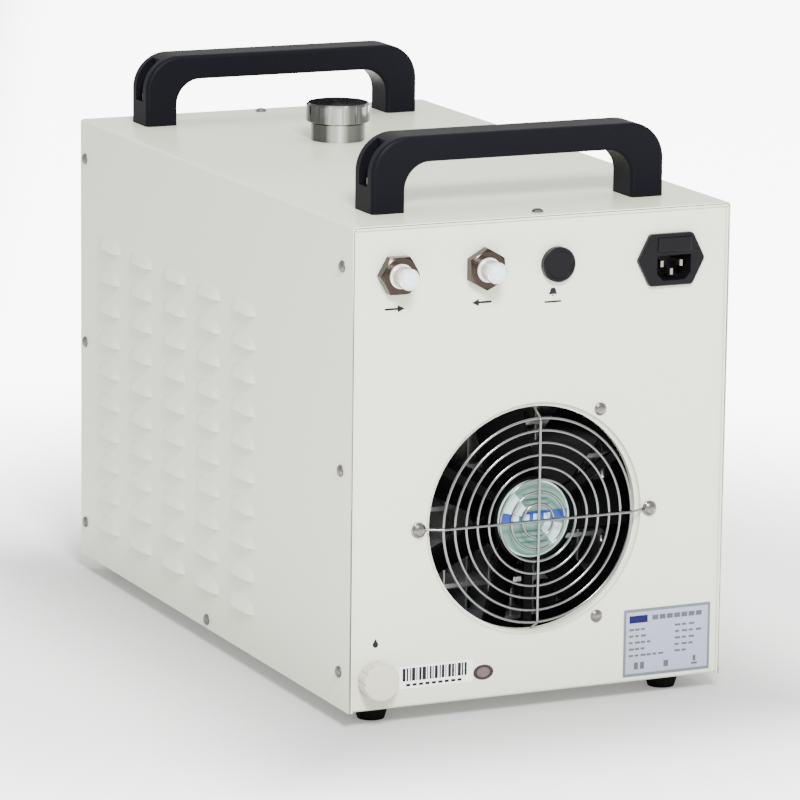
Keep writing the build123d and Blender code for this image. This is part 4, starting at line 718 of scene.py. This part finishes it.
def dress_hub():
    depth = fan_low[1]
    hub = (FAN.x / MM, FAN.z / MM)
    rim = ring_marks(*hub, HUB_OUTER, HUB_INNER, 48)
    marks("hub_rim", rim, depth, hub_pale)
    band = mm(bar(-BAND_HALF, BAND_LOW, BAND_HALF, BAND_HIGH), *hub)
    marks("hub_band", [band], depth, hub_blue)
    glints = []
    for i in range(GLINTS):
        x = GLINT_START + GLINT_STEP * i
        glints.append(mm(bar(x, GLINT_LOW, x + GLINT_WIDE, GLINT_HIGH), *hub))
    marks("hub_glints", glints, depth - PRINT_STEP, hub_pale)
    lines = []
    for i in (1, 2, 3):
        half, z = UPPER_HALF - i * UPPER_TAPER, UPPER_LOW + LINE_STEP * (i - 1)
        lines.append(mm(bar(-half, z, half, z + LINE_TALL), *hub))
    for i in (0, 1, 2):
        half, z = LOWER_HALF - i * LOWER_TAPER, LOWER_LOW - LINE_STEP * i
        lines.append(mm(bar(-half, z, half, z + LINE_TALL), *hub))
    marks("hub_lines", lines, depth, hub_shade)
    # Painted highlight: pale wedges of sheen drawn on the label
    sheen = []
    for start, end in SHEEN_ARCS:
        for i in range(SHEEN_STEPS):
            a, b = (radians(start + (end - start) * k / SHEEN_STEPS) for k in (i, i + 1))
            wedge = [(SHEEN_INNER, a), (SHEEN_OUTER, a), (SHEEN_OUTER, b), (SHEEN_INNER, b)]
            sheen.append(mm([(r * cos(t), r * sin(t)) for r, t in wedge], *hub))
    marks("hub_sheen", sheen, depth - PRINT_STEP, hub_pale)


dress_hub()

# Figures on the display: two plain seven-bar digits, in millimetres

DIGIT_MIDDLES = (8.0, -8.0)
DIGIT_HEIGHT = 262.0
DIGIT_RECESS = 0.0012
DIGIT_THICK = 0.0001
DIGIT_BARS = ((-3, 7.2, 3, 8.4), (-3, -0.6, 3, 0.6), (-3, -8.4, 3, -7.2), (-4.2, 0.8, -3.0, 7.2),
              (3.0, 0.8, 4.2, 7.2), (-4.2, -7.2, -3.0, -0.8), (3.0, -7.2, 4.2, -0.8))


def build_digits():
    shape = Shape()
    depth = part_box("display")[1][1] - DIGIT_RECESS + DIGIT_THICK
    for middle in DIGIT_MIDDLES:
        for segment in DIGIT_BARS:
            shape.flat(mm(bar(*segment), middle, DIGIT_HEIGHT), depth, DIGIT_THICK)
    mesh_object("display_digits", shape.points, shape.faces, screen_red, angle=20)


build_digits()

# Edges and shading of the frame's own pieces

for name, node in nodes.items():
    if name in ("cover", "fan_guard"):
        continue
    smooth(node, 30.0)
for name in ("mains_inlet", "fuse_drawer", "display", "power_switch", "power_rocker", "inlet_nut",
             "outlet_nut", "drain_cap"):
    soften(nodes[name], 0.0003)

# Floor: pale, with a painted shadow darkening its colour close to the case; the floor itself glows, faintly
# near and under the case and brightly further out

FLOOR_SPAN = 30.0
FLOOR_PALE = 0.93
# Painted shadow: the floor's colour turns from pale to this deep tone within the reach below
FLOOR_PAINTED_SHADOW = 0.45
PAINTED_SHADOW_REACH = 0.16
GLOW_REACH = (0.30, 0.95)
GLOW_LEVEL = (0.22, 7.0)
# The glow stays clear of the louvered side and of the rear panel: direction, dark and bright place
GLOW_EDGES = (((1.0, -0.4, 0.0), -0.52, -0.29), ((0.0, 1.0, 0.0), -0.70, -0.45))


def smooth_step(tree, value, places, levels):
    """Smooth change of a value between two places."""
    made = add_node(tree, "MapRange", interpolation_type="SMOOTHSTEP")
    made.inputs["From Min"].default_value = places[0]
    made.inputs["From Max"].default_value = places[1]
    made.inputs["To Min"].default_value = levels[0]
    made.inputs["To Max"].default_value = levels[1]
    tree.links.new(value, made.inputs["Value"])
    return made.outputs["Result"]


def floor_finish():
    made = bpy.data.materials.new("floor")
    made.use_nodes = True
    tree = made.node_tree
    shader = tree.nodes["Principled BSDF"]
    shader.inputs["Base Color"].default_value = (FLOOR_PALE, FLOOR_PALE, FLOOR_PALE, 1)
    shader.inputs["Roughness"].default_value = 0.9
    shader.inputs["Specular IOR Level"].default_value = 0.1
    shader.inputs["Emission Color"].default_value = (1, 1, 1, 1)
    spot = tree.nodes.new("ShaderNodeTexCoord").outputs["Object"]
    reach = add_node(tree, "VectorMath", operation="LENGTH")
    tree.links.new(spot, reach.inputs[0])
    glow = smooth_step(tree, reach.outputs["Value"], GLOW_REACH, GLOW_LEVEL)
    for way, dark, bright in GLOW_EDGES:
        along = add_node(tree, "VectorMath", operation="DOT_PRODUCT")
        along.inputs[1].default_value = way
        tree.links.new(spot, along.inputs[0])
        join = add_node(tree, "Math", operation="MULTIPLY")
        tree.links.new(glow, join.inputs[0])
        tree.links.new(smooth_step(tree, along.outputs["Value"], (dark, bright), (0.0, 1.0)), join.inputs[1])
        glow = join.outputs["Value"]
    tree.links.new(glow, shader.inputs["Emission Strength"])
    size = add_node(tree, "VectorMath", operation="ABSOLUTE")
    beyond = add_node(tree, "VectorMath", operation="SUBTRACT")
    beyond.inputs[1].default_value = (HALF, (FRONT - REAR) / 2, 0.0)
    split = add_node(tree, "SeparateXYZ")
    far = add_node(tree, "Math", operation="MAXIMUM")
    tree.links.new(spot, size.inputs[0])
    tree.links.new(size.outputs["Vector"], beyond.inputs[0])
    tree.links.new(beyond.outputs["Vector"], split.inputs["Vector"])
    tree.links.new(split.outputs["X"], far.inputs[0])
    tree.links.new(split.outputs["Y"], far.inputs[1])
    # Painted shadow: the floor's colour is darker close to the case
    painted_light_tone = smooth_step(tree, far.outputs["Value"], (0.0, PAINTED_SHADOW_REACH), (FLOOR_PAINTED_SHADOW, FLOOR_PALE))
    tree.links.new(painted_light_tone, shader.inputs["Base Color"])
    return made


floor_mesh = bpy.data.meshes.new("floor")
corners = [(-FLOOR_SPAN, -FLOOR_SPAN, 0), (FLOOR_SPAN, -FLOOR_SPAN, 0), (FLOOR_SPAN, FLOOR_SPAN, 0),
           (-FLOOR_SPAN, FLOOR_SPAN, 0)]
floor_mesh.from_pydata(corners, [], [(0, 1, 2, 3)])
floor = bpy.data.objects.new("floor", floor_mesh)
bpy.context.scene.collection.objects.link(floor)
floor_mesh.materials.append(floor_finish())

# Light and camera

world = bpy.data.worlds.new("world")
bpy.context.scene.world = world
world.use_nodes = True
world.node_tree.nodes["Background"].inputs["Color"].default_value = (1.0, 1.0, 1.0, 1)
world.node_tree.nodes["Background"].inputs["Strength"].default_value = 1.35


def area(name, place, target, size, power):
    """Square soft light."""
    light = bpy.data.lights.new(name, "AREA")
    light.energy = power
    light.size = size
    light.shape = "SQUARE"
    obj = bpy.data.objects.new(name, light)
    obj.location = place
    obj.rotation_euler = (Vector(target) - Vector(place)).to_track_quat("-Z", "Y").to_euler()
    bpy.context.scene.collection.objects.link(obj)


area("key", (-0.64, -2.2, 1.9), (0, 0, 0.15), 0.6, 175)
area("top", (0.3, 0.6, 2.6), (0, 0, 0.3), 1.6, 25)

# The camera was fitted to the edges of the case in the photograph

PHOTO_PIXELS = 800
FOCAL_PIXELS = 5084.35
SENSOR = 36.0
AZIMUTH, ELEVATION, ROLL = radians(-24.846), radians(12.016), radians(0.669)
CASE_MIDDLE = Vector((0.0, REAR + 0.2375, 0.171))
CAMERA_FROM_MIDDLE = Vector((-1.43486, -3.11766, 0.72092))


def place_camera():
    lens = bpy.data.cameras.new("camera")
    lens.sensor_width = SENSOR
    lens.sensor_fit = "HORIZONTAL"
    lens.lens = FOCAL_PIXELS / PHOTO_PIXELS * SENSOR
    lens.clip_end = 100.0
    camera = bpy.data.objects.new("camera", lens)
    bpy.context.scene.collection.objects.link(camera)
    ahead = Vector((-sin(AZIMUTH) * cos(ELEVATION), cos(AZIMUTH) * cos(ELEVATION), -sin(ELEVATION)))
    right = Vector((cos(AZIMUTH), sin(AZIMUTH), 0))
    above = right.cross(ahead)
    turned_right = right * cos(ROLL) + above * sin(ROLL)
    turned_above = above * cos(ROLL) - right * sin(ROLL)
    turn = Matrix((turned_right, turned_above, -ahead)).transposed()
    camera.matrix_world = Matrix.Translation(CASE_MIDDLE + CAMERA_FROM_MIDDLE) @ turn.to_4x4()
    bpy.context.scene.camera = camera


place_camera()
